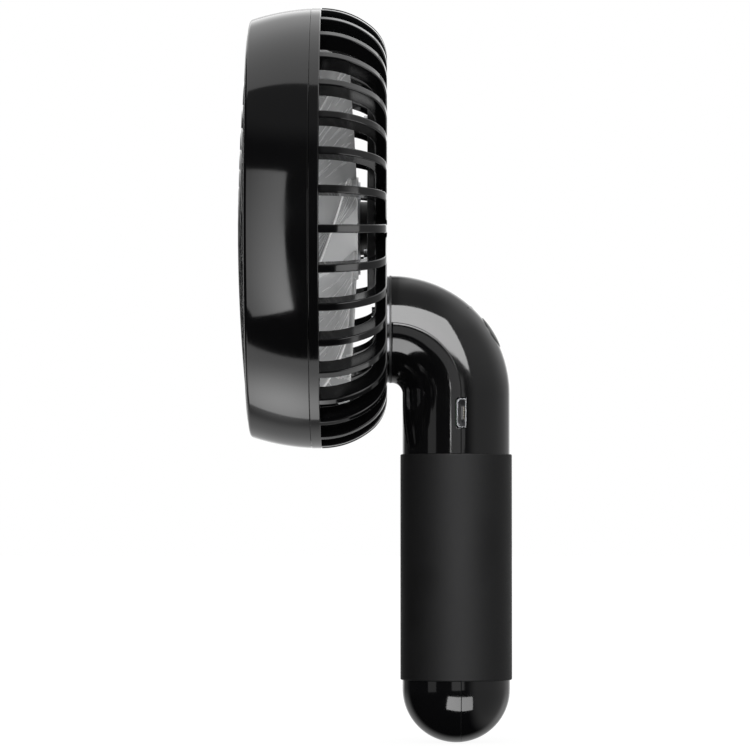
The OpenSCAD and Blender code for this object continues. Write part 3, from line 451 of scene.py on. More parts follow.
ring_in_r, lip_out_r = head_r - cage_wall, head_r - ring_wall - 0.1
cage_ring_h = seam_h - 2.7
lip_in_r = lip_out_r - 1.6
cage_ring = rounded([(ring_in_r, cage_ring_h), (head_r, cage_ring_h), (head_r, seam_h - 0.04),
                     (lip_out_r, seam_h - 0.04), (lip_out_r, lip_h), (lip_in_r, lip_h),
                     (lip_in_r, seam_h - 0.3), (ring_in_r, seam_h - 0.3)],
                    [0.3, 0.35, 0.13, 0.05, 0.2, 0.2, 0.2, 0.3])
cage = joined(lathe(cage_ring, head_place, 320), plate(), around(cage_rib(), rib_count))
rear_cage = piece("rear_cage_skin", cage, "head", "black_gloss", "rear_cage")

# %% [markdown]
# ## Impeller
# Seven scooped blades stand on a hub that drops over the motor. They are moulded in one piece in a
# smoky clear plastic. A blade is a surface of two numbers, from root to tip and from its leading
# to its trailing edge, given a thickness that thins to both edges. Carrying a flat section along a
# line would lose the scoop, so the points come from the blade's own rule.

# %% Impeller
hub_r, tip_r = box["rotor_can"][1, 1] + 1.3, np.ptp(box["impeller"][:, 1]) / 2
hub_rear, hub_front = 7.5, rear_x - box["impeller"][0, 0]
blade_count, blade_phase = 7, math.radians(-91.5)
blade_rows, blade_columns, tip_rows = 26, 30, 6
root_sunk, tip_start, tip_round, tip_flat = 0.6, 0.96, 0.04, 0.0001
root_span, span_loss, sweep_back = 48, 9, np.radians(7)
tip_rise, root_extra, foot_gap, tip_lift = 11.5, 1.2, 0.5, 2
even_rise, scooped_rise = 0.68, 0.32
blade_thick, root_share, share_loss = 1.1, 1.15, 0.4
blade_across = (1 - np.cos(np.linspace(0, np.pi, blade_columns))) / 2
blade_across = np.concatenate([blade_across, blade_across[-2:0:-1]])[None]


def blade():
    """One blade. With t from root to tip and s across, a place on its middle surface is turned
    back by the square of t, and rises by a share of s and a share of its square, which is the
    scoop. The skin stands half a thickness off it, square to the slope."""
    tip_turn = np.linspace(15, 90, tip_rows) * np.pi / 180
    t = np.concatenate([np.linspace(0, tip_start, blade_rows - tip_rows),
                        tip_start + tip_round * np.sin(tip_turn)])[:, None]
    s = blade_across
    face = np.concatenate([np.ones(blade_columns), -np.ones(blade_columns - 2)])[None]
    radius = hub_r - root_sunk + (tip_r - hub_r + root_sunk) * t
    span = np.radians(root_span - span_loss * t)
    angle = span * (0.5 - s) - sweep_back * t ** 2 + blade_phase
    rise = tip_rise + root_extra * (1 - t)
    foot = hub_rear + foot_gap + tip_lift * t ** 1.2
    height = foot + rise * (even_rise * s + scooped_rise * s ** 2)
    tip = np.sqrt(np.clip(1 - ((t - tip_start) / (tip_round + tip_flat)).clip(0) ** 2, 0.02, 1))
    edges = np.sqrt(np.clip(1 - (2 * s - 1) ** 4, 0.0, 1))
    thick = blade_thick * (root_share - share_loss * t) * edges * tip
    lean = np.arctan(rise / (span * radius))
    off = face * thick / 2
    return skin(head_place(radius, angle, height + off * np.cos(lean), off * np.sin(lean)))


def blade_marks(side_width=0.05, tip_width=0.12):
    """Marks of a blade's points for its finish. The first is how much a point belongs to the
    outline, where the finish paints a highlight, fading out a short way inwards. The others are
    its place across and out. The last two rows are for the middles of the blade's root and tip."""
    out = np.linspace(0, 1, blade_rows)[:, None]
    near = np.minimum(np.minimum(blade_across, 1 - blade_across) / side_width,
                      (1 - out) / tip_width)
    rows = triples(np.clip(1.3 - near, 0, 1), blade_across, out)
    return np.concatenate([rows.reshape(-1, 3), [[0.0, 0.5, 0.0], [1.0, 0.5, 1.0]]])


fit, hub_pole_r = 0.02, 0.3
can_r, can_front = box["rotor_can"][1, 1] + fit, rear_x - box["rotor_can"][0, 0] + fit
shaft_r, shaft_top = box["motor_shaft"][1, 1] + fit, rear_x - box["motor_shaft"][0, 0] + fit
hub_line = rounded([(hub_pole_r, hub_front), (hub_r, hub_front), (hub_r, hub_rear),
                    (can_r, hub_rear), (can_r, can_front), (shaft_r, can_front),
                    (shaft_r, shaft_top), (hub_pole_r, shaft_top)],
                   [0, 3, 0.25, 0.25, 0.3, 0.05, 0.1, 0], 8)
hub = lathe(hub_line, head_place, 160, False)
impeller = piece("impeller_skin", joined(hub, around(blade(), blade_count)), "rotor",
                 "smoke_clear", "impeller")
marks = np.concatenate([np.zeros((len(hub[0]), 3)), np.tile(blade_marks(), (blade_count, 1))])
impeller.data.attributes.new("marks", "FLOAT_VECTOR", "POINT").data.foreach_set(
    "vector", marks.astype(np.float32).ravel())

# %% [markdown]
# ## Front shell of the neck and grip
# The tube is moulded as two half shells, and their seam runs down both sides. The front half is
# made again here so that its lips are rounded, which turns the flush joint into the fine groove
# that the light picks out. Every section is a half ring with a wall, and it is carried from the
# pole of the round end, up the grip and round the bend. The charging inlet is a notch in one lip.

# %% Path of the shell
shell_wall, sleeve_seat_r = 2.4, grip_r - 1.2
pole_turn = np.radians(np.concatenate([[0.6, 2], np.linspace(5, 90, 26)]))
inlet_z, inlet_half, inlet_deep, inlet_cut, cut_length = 39.7, 4.0, 1.475, 0.6, 0.75


def shell_rows():
    """Rows of the shell from pole to neck: the tilt from the pole, the foot of the section, the
    direction of its middle plane, and its radius."""
    end = np.array([-2.1, -2.05, -2.0]) - grip_z
    step_low = -grip_z + np.array([-0.25, -0.2, -0.14, -0.07, -0.02, 0.0, 0.02, 0.4])
    drop = (tube_r - sleeve_seat_r) * np.array([0, 0, 0, 0, 0, 0.02, 1, 1])
    near = np.array([-0.3, -0.12, -0.05, 0, 0.05, 0.12, 0.3, 0.75, 0.8])
    heights = np.concatenate([
        end, step_low, -step_low[::-1], np.linspace(grip_z + 1, inlet_z - 5, 6),
        inlet_z - inlet_half + near, [inlet_z - 1.5, inlet_z, inlet_z + 1.5],
        inlet_z + inlet_half - near[::-1], [bend_z - 0.3]])
    sunk = np.concatenate([0 * end, drop, drop[::-1]])
    bend = np.radians(np.linspace(0, 90, 61))
    poles, straight = len(pole_turn), len(pole_turn) + len(heights)
    tilt = np.concatenate([pole_turn, np.full(len(heights) + len(bend), np.pi / 2)])
    turn = np.concatenate([np.zeros(straight), bend])
    foot_x = np.concatenate([np.zeros(straight), neck_x + bend_r * np.cos(bend)])
    foot_z = np.concatenate([np.full(poles, dome_z), heights, bend_z + bend_r * np.sin(bend)])
    radius = tube_r - np.pad(sunk, (poles, straight + len(bend) - poles - len(sunk)))
    return tilt, turn, foot_x, foot_z, radius


def notch_depth(z, turn, sharp=0.02):
    """How far the inlet cuts the lip back at a height: a steep step at each end of the notch, and
    a slanted corner on top of it."""
    inside = inlet_half - np.abs(z - inlet_z)
    steep = np.clip(inside / sharp, 0, 1) * (inlet_deep - inlet_cut)
    slanted = np.clip(inside / cut_length, 0, 1) * inlet_cut
    return np.where(turn > 0, 0, steep + slanted)


def half_section(radius, cut, arc=64, lip=0.22, gap=0.05):
    """Half ring of one wall in its own plane: outer arc, rounded lip, flat, inner arc, flat and
    rounded lip. The lips stand a small gap short of the middle plane, or further at the notch."""
    radius, cut = radius[:, None], cut[:, None]
    cuts = [np.zeros_like(cut) + gap, cut + gap]
    sides = []
    for back, sign in zip(cuts, (1, -1)):
        edge_x = -(back + lip)
        edge_y = np.sqrt(radius ** 2 - (edge_x + seam_x) ** 2)
        angle = np.radians(np.linspace(0, 90, 6))
        curve_x = edge_x + lip * np.sin(angle)
        curve_y = edge_y - lip + lip * np.cos(angle)
        flat = np.array([0.04, shell_wall - 0.3])
        x = np.concatenate([curve_x, np.repeat(-back, 2, 1)], 1)
        y = np.concatenate([curve_y, edge_y - lip - flat], 1)
        sides.append((x, sign * y, np.arctan2(edge_y, edge_x + seam_x)))
    share = np.linspace(0, 1, arc)[None, 1:-1]
    outer = -sides[1][2] + (sides[0][2] - 2 * np.pi + sides[1][2]) * share
    outer_x, outer_y = radius * np.cos(outer) - seam_x, radius * np.sin(outer)
    inner_r = radius - shell_wall
    turns = [np.arccos(np.clip((seam_x - back) / inner_r, -1, 1)) for back in cuts]
    inner = turns[0] + (2 * np.pi - turns[0] - turns[1]) * np.linspace(0, 1, arc)[None]
    inner_x, inner_y = inner_r * np.cos(inner) - seam_x, inner_r * np.sin(inner)
    x = np.concatenate([sides[0][0], inner_x, sides[1][0][:, ::-1], outer_x], 1)
    y = np.concatenate([sides[0][1], inner_y, sides[1][1][:, ::-1], outer_y], 1)
    return x, y


def shell_skin():
    """Sections placed along the path. On the round end a point keeps its distance from the ball's
    middle, so it is found where its ray from the foot meets that ball."""
    tilt, turn, foot_x, foot_z, radius = shell_rows()
    x, y = half_section(radius, notch_depth(foot_z, turn))
    depth = np.hypot(x + seam_x, y)
    angle = np.arctan2(y, x)
    tilt = tilt[:, None]
    lean = seam_x * np.sin(tilt) * np.cos(angle)
    reach = np.sqrt(lean ** 2 - seam_x ** 2 + depth ** 2) - lean
    out = reach * np.sin(tilt) * np.cos(angle) + seam_x
    side = reach * np.sin(tilt) * np.sin(angle)
    down = reach * np.cos(tilt)
    turn = turn[:, None]
    place_x = foot_x[:, None] + out * np.cos(turn) + down * np.sin(turn)
    place_z = foot_z[:, None] + out * np.sin(turn) - down * np.cos(turn)
    return skin(np.stack([place_x, side, place_z], -1))


front_shell = piece("front_shell_skin", shell_skin(), "handle", "black_gloss", "front_shell")

# %% [markdown]
# ## Sleeve
# A matt rubber sleeve is stretched over the grip. It is one turned band with soft edges, a hair
# clear of the shells, and it stands half a millimetre proud of the tube.

# %% Sleeve
sleeve_in = sleeve_seat_r + 0.1
sleeve_line = rounded([(sleeve_in, -grip_z), (grip_r, -grip_z), (grip_r, grip_z),
                       (sleeve_in, grip_z)], [0.1, 0.35, 0.35, 0.1])
grip_sleeve = piece("grip_sleeve_skin", lathe(sleeve_line, grip_place, 256), "handle",
                    "sleeve_rubber", "grip_sleeve")

# %% [markdown]
# ## Swivel collar
# A dull black ring fills the joint between the neck and the turning flange. It is one turned band,
# as the sleeve is, but round the level axis that the head swivels on. It stops a hair short of the
# flange, so that the two can turn and no light shows between them.

# %% Swivel collar
neck_z = box["swivel_collar"][:, 2].mean()
flange_gap, sight_gap = 0.05, 0.01


def swivel_place(radius, turn, height):
    """A radius at a turn round the swivel's axis, and a place along it."""
    return triples(height, radius * np.sin(turn), neck_z + radius * np.cos(turn))


band_in_r, band_edge = 8, 0.04
band_x = box["swivel_collar"][0, 0] - flange_gap + sight_gap
band_line = rounded([(band_in_r, band_x), (tube_r, band_x), (tube_r, neck_x),
                     (band_in_r, neck_x)], band_edge)
swivel_collar = piece("swivel_collar_skin", lathe(band_line, swivel_place, 256), "handle",
                      "black_satin", "swivel_collar")

# %% [markdown]
# ## Power button
# The button is a round cap that stands a third of a millimetre proud, and its face follows the
# bend. So a point of the face is found from its place on a disc: it lies on a tube round the bend
# that is a little fatter than the shell. Towards the rim that tube shrinks, which crowns the face
# gently and rounds its edge off.

# %% Power button
button_r, button_proud, button_edge, button_crown = 4.5, 0.35, 0.2, 0.25
button_turn = math.radians(31.6)
skirt_r, skirt_low, skirt_top = 5.4, 8.7, 10.116


def button_place(out, along, across):
    """A place in the button's frame: out from the bend's middle, along the bend, and across."""
    x = neck_x + out * np.cos(button_turn) - along * np.sin(button_turn)
    z = bend_z + out * np.sin(button_turn) + along * np.cos(button_turn)
    return triples(x, across, z)


def button_face(radius, turn, depth):
    """Points of the disc pushed out to the tube round the bend, some depth below its face."""
    along, across = radius * np.cos(turn), radius * np.sin(turn)
    ring = bend_r + np.sqrt((tube_r + button_proud - depth) ** 2 - across ** 2)
    return button_place(np.sqrt(ring ** 2 - along ** 2), along, across)


face_rows, button_pole_r, shoulder = 11, 0.1, 0.1
round_turn = np.linspace(0, 2 * np.pi, 96, endpoint=False)[None]
bow = np.linspace(0, np.pi / 2, 9)[:, None]
flat_end = button_r - button_edge
face_r = np.concatenate([np.linspace(button_pole_r, flat_end, face_rows + 1)[:-1, None],
                         flat_end + button_edge * np.sin(bow)])
face_depth = np.concatenate([np.zeros((face_rows, 1)), button_edge * (1 - np.cos(bow))])
face_depth += button_crown * (face_r / button_r) ** 4
skirt = np.array([(button_r, skirt_top + shoulder), (button_r, skirt_top), (skirt_r, skirt_top),
                  (skirt_r, skirt_low), (button_pole_r, skirt_low)])
skirt_rows = button_place(bend_r + skirt[:, 1:], skirt[:, :1] * np.cos(round_turn),
                          skirt[:, :1] * np.sin(round_turn))
face_points = button_face(face_r, round_turn, face_depth)
power_button = piece("power_button_skin", skin(np.concatenate([face_points, skirt_rows])),
                     "button", "black_gloss", "power_button")

# %% [markdown]
# ## A way to write finishes
# A finish is a small network of nodes, hard to read when written node by node. So two helpers turn
# it into sums: one class stands for a socket and lets it be added and multiplied, and one holds
# the material and adds every other kind of node with a single method.

# %% Shader sums
def maths(operation, reflected=False):
    """A method that adds the Math node of one operation, with its two sides reflected if asked."""
    def method(field, other):
        sides = (other, field) if reflected else (field, other)
        return field.finish.add("ShaderNodeMath", {"operation": operation}, dict(enumerate(sides)))
    return method


class Field:
    """One output of a node, which can be used in a sum as a number can."""

    def __init__(self, finish, socket):
        self.finish, self.socket = finish, socket

    __add__ = __radd__ = maths("ADD")
    __sub__, __rsub__ = maths("SUBTRACT"), maths("SUBTRACT", reflected=True)
    __mul__ = __rmul__ = maths("MULTIPLY")
    __pow__ = maths("POWER")


class Finish:
    """A node tree that is filled one call at a time."""

    def __init__(self, owner):
        owner.use_nodes = True
        self.owner, self.tree = owner, owner.node_tree

    def feed(self, socket, value):
        """Links a field to a socket, or sets the socket's own value."""
        if isinstance(value, Field):
            self.tree.links.new(value.socket, socket)
        else:
            socket.default_value = value

    def add(self, kind, settings=None, sockets=None, out=0):
        """Adds a node, sets its settings and then its sockets, and gives one of its outputs."""
        node = self.tree.nodes.new(kind)
        for name, value in (settings or {}).items():
            setattr(node, name, value)
        for name, value in (sockets or {}).items():
            self.feed(node.inputs[name], value)
        return Field(self, node.outputs[out])

    def place(self, stretch=(1, 1, 1), centre=(0, 0, 0)):
        """The object's own coordinates in millimetres, stretched and centred."""
        spot = self.add("ShaderNodeTexCoord", out="Object")
        return self.add("ShaderNodeMapping", None, {
            "Vector": spot, "Location": [-s * c for s, c in zip(stretch, centre)],
            "Scale": [s / MM for s in stretch]})

    def noise(self, where, size, detail=3.0, roughness=0.5):
        """Cloudy noise from 0 to 1 with features of about one size in millimetres."""
        return self.add("ShaderNodeTexNoise", None, {
            "Vector": where, "Scale": 1 / size, "Detail": detail, "Roughness": roughness})

    def blend(self, share, first, second):
        """A colour between two colours."""
        return self.add("ShaderNodeMix", {"data_type": "RGBA"}, {0: share, 6: first, 7: second}, 2)

    def curve(self, value, low, high, to_low=0.0, to_high=1.0):
        """A value carried smoothly from one range to another, and held at its ends."""
        return self.add("ShaderNodeMapRange", {"interpolation_type": "SMOOTHSTEP"},
                        {0: value, 1: low, 2: high, 3: to_low, 4: to_high})

    def fill(self, node, **sockets):
        """Feeds the sockets of the node that the tree came with."""
        for name, value in sockets.items():
            self.feed(self.tree.nodes[node].inputs[name.replace("_", " ")], value)

    def surface(self, colour, roughness, height=None, relief=0.0, **constants):
        """Feeds the material's own shader. Relief is how high the bump stands, in millimetres."""
        if height is not None:
            constants["Normal"] = self.add("ShaderNodeBump", None, {
                "Height": height, "Distance": relief * MM, "Strength": 1.0})
        self.fill("Principled BSDF", Base_Color=colour, Roughness=roughness, **constants)


def shade(red, green=None, blue=None, scale=1.0):
    """A colour of four numbers, grey where one is given."""
    values = (red, red if green is None else green, red if blue is None else blue)
    return [min(1.0, value * scale) for value in values] + [1.0]


print("shader helpers are ready")

# %% [markdown]
# ## Plastics
# Most of the fan is one glossy black plastic. It is nearly a mirror, so its colour hardly matters
# and its detail lies in how sharp the mirror is: faint clouds from handling, hair-thin rubbing
# marks along the way a cloth is drawn, and a ripple left by the mould that bends reflections a
# little. The other plastics share this recipe with their own numbers.

# %% Glossy and satin plastics
materials = {}


def new_finish(slot):
    """A finish on a new material, kept under the name of its slot."""
    materials[slot] = bpy.data.materials.new(slot)
    return Finish(materials[slot])


def plastic(slot, colour, roughness, clouds=0.04, marks=0.03, ripple=0.0006, grain=0.0,
            grain_size=0.3, mottle=0.12, **constants):
    """Moulded plastic: cloudy roughness and colour, rubbing marks, a slow ripple and a grain."""
    finish = new_finish(slot)
    where = finish.place()
    cloud = finish.curve(finish.noise(where, 14.0, 4.0), 0.35, 0.7)
    rubbed = finish.curve(finish.noise(finish.place((6.0, 0.35, 0.5)), 1.0, 2.0), 0.58, 0.75)
    fine = finish.noise(where, grain_size, 2.0)
    tint = finish.blend(finish.noise(where, 5.0, 5.0, 0.6), shade(*colour, scale=1 - mottle),
                        shade(*colour, scale=1 + mottle))
    height = finish.noise(where, 9.0, 1.0) * ripple + (fine - 0.5) * grain
    finish.surface(tint, cloud * clouds + rubbed * marks + (fine - 0.5) * 0.03 + roughness,
                   height, 1.0, **constants)


plastic("black_gloss", (0.006, 0.006, 0.0066), 0.065, IOR=1.5)
plastic("black_satin", (0.012, 0.012, 0.013), 0.34, grain=0.01, grain_size=0.35)
plastic("chip_black", (0.015, 0.015, 0.017), 0.5, grain=0.008, grain_size=0.15)
plastic("lead_black", (0.014, 0.014, 0.015), 0.42, grain=0.004)
plastic("lead_red", (0.38, 0.015, 0.012), 0.38, grain=0.004)
plastic("part_white", (0.74, 0.74, 0.7), 0.3, mottle=0.03)
plastic("washer_nylon", (0.58, 0.53, 0.42), 0.42, mottle=0.05)
plastic("wrap_blue", (0.02, 0.12, 0.33), 0.22, ripple=0.004, mottle=0.08)
# The light guide's dark smoky tint is partly its own tint and partly painted shade: it stands in
# for the shade inside the recessed pinholes in front of it.
plastic("guide_clear", (0.12, 0.124, 0.128), 0.3, mottle=0.03, Transmission_Weight=0.3, IOR=1.49)
print("plastics:", len(materials))

# %% [markdown]
# ## Smoky clear plastic
# The impeller is moulded in a clear plastic with a little grey in it. Light that enters such a
# plate runs inside it and comes out at its edges, so they look paler than its faces; the finish
# paints that paler edge into the colour as a painted highlight. Flow lines from the mould show as
# streaks. An attribute of the blades tells the finish where it is on a blade, so that the streaks
# and the painted edge highlight turn with them.

# %% Clear plastic
def clear_plastic(slot, dark, pale, bright):
    """Milky clear plastic: pale streaks that run across each blade, and a painted highlight that
    makes the edges paler.
    """
    finish = new_finish(slot)
    marks = finish.add("ShaderNodeAttribute", {"attribute_name": "marks"}, out="Vector")
    edge = finish.add("ShaderNodeSeparateXYZ", None, {0: marks}, out="X")
    flow = finish.add("ShaderNodeVectorMath", {"operation": "MULTIPLY"},
                      {0: marks, 1: (0.0, 3.0, 36.0)}, "Vector")
    clouds = finish.noise(finish.place(), 11.0, 2.0)
    streak = finish.curve(finish.noise(flow, 1.6, 3.0, 0.6), 0.45, 0.7)
    milky = streak * finish.curve(clouds, 0.35, 0.65, 0.25, 1.0)
    body = finish.blend(milky, shade(*dark), shade(*pale))
    # The outline mark blends the colour towards the bright shade: a painted highlight for the light
    # that leaves the plate at its edges.
    finish.surface(finish.blend(edge, body, shade(*bright)), streak * 0.15 + 0.2, clouds, 0.05,
                   Transmission_Weight=0.25, IOR=1.5)


clear_plastic("smoke_clear", (0.64, 0.645, 0.65), (0.9, 0.9, 0.9), (0.95, 0.95, 0.95))
print("clear plastic done")

# %% [markdown]
# ## Rubber and foam
# The sleeve is soft-touch rubber: no mirror at all, a fine even pebble from an etched mould, a
# trace of skin oil that shines where a palm rubs, and a soft glow at grazing angles.

# %% Rubber and foam
def rubber(slot, colour, roughness, pebble, relief, sheen, shine):
    """Matt rubber: pebbles from a cell pattern over fine noise, with darker, polished hand marks
    as wide clouds."""
    finish = new_finish(slot)
    where = finish.place()
    cell = finish.add("ShaderNodeTexVoronoi", {"feature": "F1"},
                      {"Vector": where, "Scale": 1 / pebble})
    fine = finish.noise(where, pebble * 2.5, 3.0)
    handled = finish.curve(finish.noise(where, 22.0, 3.0), 0.45, 0.7)
    tint = finish.blend(fine, shade(*colour, scale=0.8), shade(*colour, scale=1.2))
    finish.surface(finish.blend(handled * 0.5, tint, shade(*colour, scale=0.7)),
                   roughness - handled * 0.08 + (fine - 0.5) * 0.1, 1 - cell + fine, relief,
                   Sheen_Weight=sheen, Sheen_Roughness=0.5, Specular_IOR_Level=shine)


rubber("sleeve_rubber", (0.0075, 0.0075, 0.008), 0.6, 0.12, 0.006, 0.012, 0.17)
rubber("foam", (0.04, 0.04, 0.04), 0.85, 0.35, 0.08, 0.1, 0.5)
print("rubbers done")

# %% [markdown]
# ## Metals
# Each metal piece shows how it was made. Turned and drawn pieces carry fine lines round their axis,
# cast zinc has a cloudy skin, stamped laminations show as thin stripes, and wound wire as ridges.
# So one recipe takes the direction and the pitch of its lines, and how much of each it shows.

# %% Metals
def metal(slot, colour, roughness, lines=(1, 0, 0), pitch=0.3, relief=0.0, streak=0.08,
          cloud_size=3.0, clouds=0.12, metallic=1.0, dark=0.75):
    """Worked metal: ridges and grooves across one direction, each one pitch wide, streaks along
    them and a cloudy skin. The wave turns ten times its scale in a millimetre, and half a turn
    is one pitch, so its scale is pi over ten pitches."""
    finish = new_finish(slot)
    where = finish.place()
    stretched = finish.place([4.0 if part else 0.4 for part in lines])
    streaks = finish.noise(stretched, 0.6, 3.0, 0.6)
    cloud = finish.noise(where, cloud_size, 4.0, 0.6)
    turned = finish.place(lines)
    wave = finish.add("ShaderNodeTexWave", {"bands_direction": "DIAGONAL"},
                      {"Vector": turned, "Scale": math.pi / 10 / pitch}, out="Fac")
    tint = finish.blend(cloud * 0.6 + streaks * 0.4, shade(*colour, scale=dark), shade(*colour))
    finish.surface(tint, (streaks - 0.5) * streak + (cloud - 0.5) * clouds + roughness,
                   wave + streaks * 0.3, relief, Metallic=metallic)


metal("steel", (0.62, 0.63, 0.65), 0.22, relief=0.0015)
metal("can_zinc", (0.42, 0.43, 0.45), 0.32, pitch=0.25, relief=0.002)
metal("laminations", (0.16, 0.165, 0.17), 0.45, pitch=0.35, relief=0.05, metallic=0.7)
metal("copper", (0.72, 0.33, 0.16), 0.3, pitch=0.28, relief=0.08)
metal("bronze", (0.52, 0.36, 0.19), 0.45, pitch=0.2, relief=0.002, cloud_size=0.3)
metal("ferrite", (0.05, 0.052, 0.056), 0.55, pitch=0.4, relief=0.001, cloud_size=0.4, metallic=0.2)
metal("spigot_zinc", (0.12, 0.12, 0.125), 0.14, pitch=0.4, relief=0.0003, cloud_size=1.6,
      clouds=0.06)
metal("cell_steel", (0.58, 0.58, 0.58), 0.25, lines=(0, 0, 1), pitch=0.4, relief=0.001)
metal("nickel", (0.66, 0.64, 0.6), 0.24, lines=(0, 1, 0), pitch=0.2, relief=0.001)
metal("gold", (0.95, 0.85, 0.62), 0.3, lines=(0, 1, 0), pitch=0.1, relief=0.0005, metallic=0.4)
print("metals done:", len(materials), "finishes so far")

# %% [markdown]
# ## Circuit board
# A board is green lacquer over copper tracks. The tracks stand a little proud and show paler, so a
# grid of bricks gives lines that run and turn, and their height goes into the bump as well.

# %% Board
def board(slot, colour, track):
    """Lacquer with paler, raised tracks between the bricks of a grid, and clouds in the lacquer."""
    finish = new_finish(slot)
    where = finish.place(centre=(0.1, 0.2, 0.3))
    tracks = finish.add("ShaderNodeTexBrick", {"offset": 0.37, "squash": 0.6}, {
        "Vector": finish.place((0.3, 1.0, 1.0)), "Scale": 0.6, "Mortar Size": 0.06,
        "Mortar Smooth": 0.2, "Color1": shade(0), "Color2": shade(0), "Mortar": shade(1)},
        out="Fac")
    cloud = finish.noise(where, 3.0, 4.0)
    lacquer = finish.blend(cloud, shade(*colour, scale=0.8), shade(*colour, scale=1.2))
    finish.surface(finish.blend(tracks, lacquer, shade(*track)), cloud * 0.1 + 0.22, tracks, 0.03)


board("board_green", (0.012, 0.085, 0.03), (0.06, 0.2, 0.07))
print("board done:", len(materials), "finishes in all")

# %% [markdown]
# ## A finish for every part
# The record names a material slot for each engineering part. A part whose shape is right keeps its
# own mesh and only takes its finish from that slot, and each new skin takes it from its own.

# %% Give every part its finish
slots = {part["node"]: part["material_slot"] for part in frame["record"]["subparts"]}
skins = (front_ring, front_grille, grille_cap, rear_cage, impeller, front_shell, grip_sleeve,
         swivel_collar, power_button)
for name, part in frame["nodes"].items():
    part.data.materials.clear()
    part.data.materials.append(materials[slots[name]])
for part in skins:
    part.data.materials.append(materials[part["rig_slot"]])
print("finishes used:", sorted(set(slots.values())))

# %% [markdown]
# ## Floor
# The fan stands on a pale floor that melts into the background. To the camera the floor is white
# of its own, with a little paint on top that takes the shadow of the fan.

# %% Floor
floor_half = 6.0
floor_mesh = bpy.data.meshes.new("floor")
floor_level = cad_box[0][2]
floor_mesh.from_pydata([(x * floor_half, y * floor_half, floor_level) for x, y in
                        ((-1, -1), (1, -1), (1, 1), (-1, 1))], [], [(0, 1, 2, 3)])
floor = in_scene("floor", floor_mesh)
paint = Finish(bpy.data.materials.new("floor_white"))
speck = paint.noise(paint.place(), 40.0, 3.0)
middle_way = paint.add("ShaderNodeVectorMath", {"operation": "LENGTH"}, {0: paint.place()}, "Value")
paint.surface(paint.blend(speck, shade(0.2), shade(0.22)), 0.9, Specular_IOR_Level=0.0,
              Emission_Color=paint.curve(middle_way, 0, 120, 0.9, 1.0), Emission_Strength=1.0)
floor_mesh.materials.append(paint.owner)
for ray in ("diffuse", "glossy", "transmission", "shadow"):
    setattr(floor, "visible_" + ray, False)
print("floor at %.1f mm" % (floor_level / MM))

# %% [markdown]
# ## Light
# A black mirror shows its surroundings and nothing else, so the lamps are laid out as the shapes
# that should be seen in it. The head shows one tall soft window, a card, and broad panels above
# and below. The neck and the grip face another way: they show a pair of cards, one above the
# other, fainter ones between, and a slit beside the inlet. Each set lights its own pieces only, as
# if it were flagged off the rest, and is seen in reflections alone. Two glows shine through the
# impeller, and one plain front lamp carries the colour of everything.

# %% Lamps
def way_to(turn, lift):
    """Direction of a bearing and a height angle, both in degrees: its share across is the sine of
    the bearing, its share towards the front the cosine, and the height angle tips both up."""
    turn, lift = math.radians(turn), math.radians(lift)
    return Vector((math.sin(turn) * math.cos(lift), -math.cos(turn) * math.cos(lift),
                   math.sin(lift)))


def lamp(name, turn, lift, width, height, level, centre, fade=None, rays=("glossy",),
         distance=0.9):
    """Rectangular lamp facing a centre, set by its bearing, its height angle and its distance. Its
    power is its brightness times its area times pi. It can fade to a share across its width and
    its height, or softly from its middle to nothing at its edge."""
    light = bpy.data.lights.new(name, "AREA")
    light.shape, light.size, light.size_y = "RECTANGLE", width, height
    light.energy = level * math.pi * width * height
    if fade:
        cloth = Finish(light)
        spot = cloth.add("ShaderNodeNewGeometry", out="Parametric")
        across, along = (cloth.add("ShaderNodeSeparateXYZ", None, {0: spot}, out=axis)
                         for axis in "XY")
        if fade == "soft":
            middle_way = ((across - 0.5) ** 2.0 + (along - 0.5) ** 2.0) ** 0.5
            share = cloth.curve(middle_way, 0.0, 0.5, 1.0, 0.0)
        else:
            share = (cloth.curve(across, 0.0, 1.0, fade[0], 1.0)
                     * cloth.curve(along, 0.0, 1.0, 1.0, fade[1]))
        cloth.fill("Emission", Strength=share)
    made = in_scene(name, light)
    way = way_to(turn, lift)
    made.location = Vector(centre) + way * distance
    made.rotation_euler = (-way).to_track_quat("-Z", "Y").to_euler()
    for ray in ("diffuse", "glossy", "transmission"):
        setattr(made, "visible_" + ray, ray in rays)
    return made


def lit_by(group, bodies, lamps, shaded=True, without=()):
    """Restricts lamps to the pieces that ride on some of the bodies. The swivel's flange rides on
    the head but stands in line with the neck, so it goes with the handle. Lamps that aren't
    shaded also pass through every other piece."""
    pieces = bpy.data.collections.new(group)
    for part in list(frame["nodes"].values()) + list(skins):
        facing = "handle" if part is frame["nodes"]["swivel_spigot"] else part["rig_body"]
        if facing in bodies and part.name not in without:
            pieces.objects.link(part)
    for light in lamps:
        light.light_linking.receiver_collection = pieces
        if not shaded:
            light.light_linking.blocker_collection = pieces


head_middle, window_middle = (-0.035, -0.05, 0.088), (-0.035, -0.05, -0.175)
neck_middle, inlet_middle = (-0.008, -0.01, 0.055), (0, -0.01, inlet_z * MM)
grip_middle, foot_middle = (0, -0.01, 0.02), (0, -0.01, -0.035)
colouring = ("diffuse", "transmission")
lit_by("head pieces", ("head", "rotor"), [
    lamp("window", -34, 0, 0.5, 1.4, 4.6, window_middle, (0.4, 0.5)),
    lamp("right card", 43.5, -8, 0.52, 0.75, 2.4, head_middle),
    lamp("ceiling", 165, 64.5, 1.9, 1.48, 1.1, head_middle),
    lamp("table", 180, -81, 1.9, 0.745, 1.42, head_middle),
    lamp("table glow", -138.3, -70.2, 0.84, 0.84, 2.3, head_middle, "soft")])
lit_by("rotor pieces", ("rotor",), [
    lamp("glow", -15, -38, 0.9, 0.9, 4.6, head_middle, rays=colouring),
    lamp("back glow", 150, -25, 0.9, 0.9, 3.0, head_middle, rays=colouring)], shaded=False)
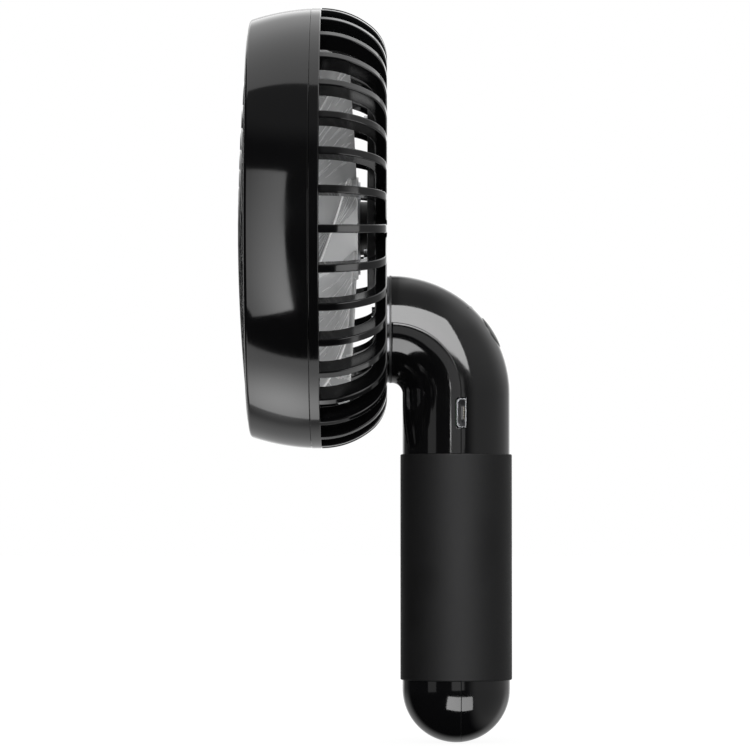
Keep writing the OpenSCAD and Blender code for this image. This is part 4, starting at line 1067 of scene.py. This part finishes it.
lit_by("handle pieces", ("handle", "button"), [
    lamp("high card", 7, 31, 0.94, 0.66, 9.0, neck_middle, (1.2, 1.0)),
    lamp("low card", 8, -32, 0.9, 0.5, 5.4, foot_middle, (1.2, 1.0))])
lit_by("tube pieces", ("handle", "button"), [
    lamp("middle card", 4, 0, 0.46, 0.24, 0.8, grip_middle),
    lamp("side card", -54, -1, 0.3, 0.28, 0.5, grip_middle),
    lamp("slit", -12.2, 0.9, 0.03, 0.02, 13.0, inlet_middle)], without=("usb_shell",))
lamp("front", -5, 20, 0.8, 0.8, 1.6, (-0.02, 0, 0.05), rays=colouring, distance=1.2)

# %% [markdown]
# ## The room
# Past the lamps, the mirrors show the room. Its far wall is bright, which edges round parts with a
# pale rim, and it is dimmer low down. The right side, the ceiling and the far upper corner glow
# softly. Each is a smooth step on a direction, so no picture of a room is needed. Only mirrors see
# this: the eye sees plain white, and matt colours get a plain level.

# %% Surroundings
world = bpy.data.worlds.new("studio")
bpy.context.scene.world = world
studio = Finish(world)
way = studio.add("ShaderNodeTexCoord", out="Generated")
right, behind, up = (studio.add("ShaderNodeSeparateXYZ", None, {0: way}, out=axis)
                     for axis in "XYZ")
ray = {name: studio.add("ShaderNodeLightPath", out="Is %s Ray" % name)
       for name in ("Camera", "Glossy", "Transmission")}
below = studio.curve(up, -0.3, 0.1, 1.0, 0.0)
far_wall = studio.curve(behind, 0.78, 1.03, 0.02, 1.6) * (1 - below * 0.95)
low_wall = studio.curve(behind, 0.45, 0.75, 0.0, 0.5) * below
right_side = studio.curve(right, 0.35, 0.7, 0.0, 0.4)
ceiling = studio.curve(up, 0.6, 0.8, 0.0, 0.17)
corner = (studio.curve(up, -0.15, 0.5) * studio.curve(right, -0.02, 0.12)
          * studio.curve(behind, -0.1, 0.9, 0.2, 0.8))
room, plain = far_wall + low_wall + right_side + ceiling + corner, 0.3
level = ray["Glossy"] * (room - plain) + plain
white = studio.add("ShaderNodeMix", {"data_type": "FLOAT"},
                   {0: ray["Camera"] + ray["Transmission"], 2: level, 3: 1.0})
studio.fill("Background", Color=shade(1.0), Strength=white)
print("the room has", len(studio.tree.nodes), "nodes")

# %% [markdown]
# ## Camera
# The fan is seen exactly from its side, from a little below its middle and from so far away that
# its lines hardly converge. A long lens does that.

# %% Camera
lens = bpy.data.cameras.new("camera")
camera = in_scene("camera", lens)
target = Vector((-0.0211, 0.0, 0.0499))
bearing, climb, distance = 0.26, -2.0, 1.1
camera.location = target + distance * way_to(bearing, climb)
camera.rotation_euler = (target - camera.location).to_track_quat("-Z", "Y").to_euler()
lens.lens, lens.sensor_width = 202.8, 36.0
lens.clip_start, lens.clip_end = 0.05, 20.0
bpy.context.scene.camera = camera
bpy.context.scene.view_settings.view_transform = "Standard"
print("camera %.2f m away" % distance)
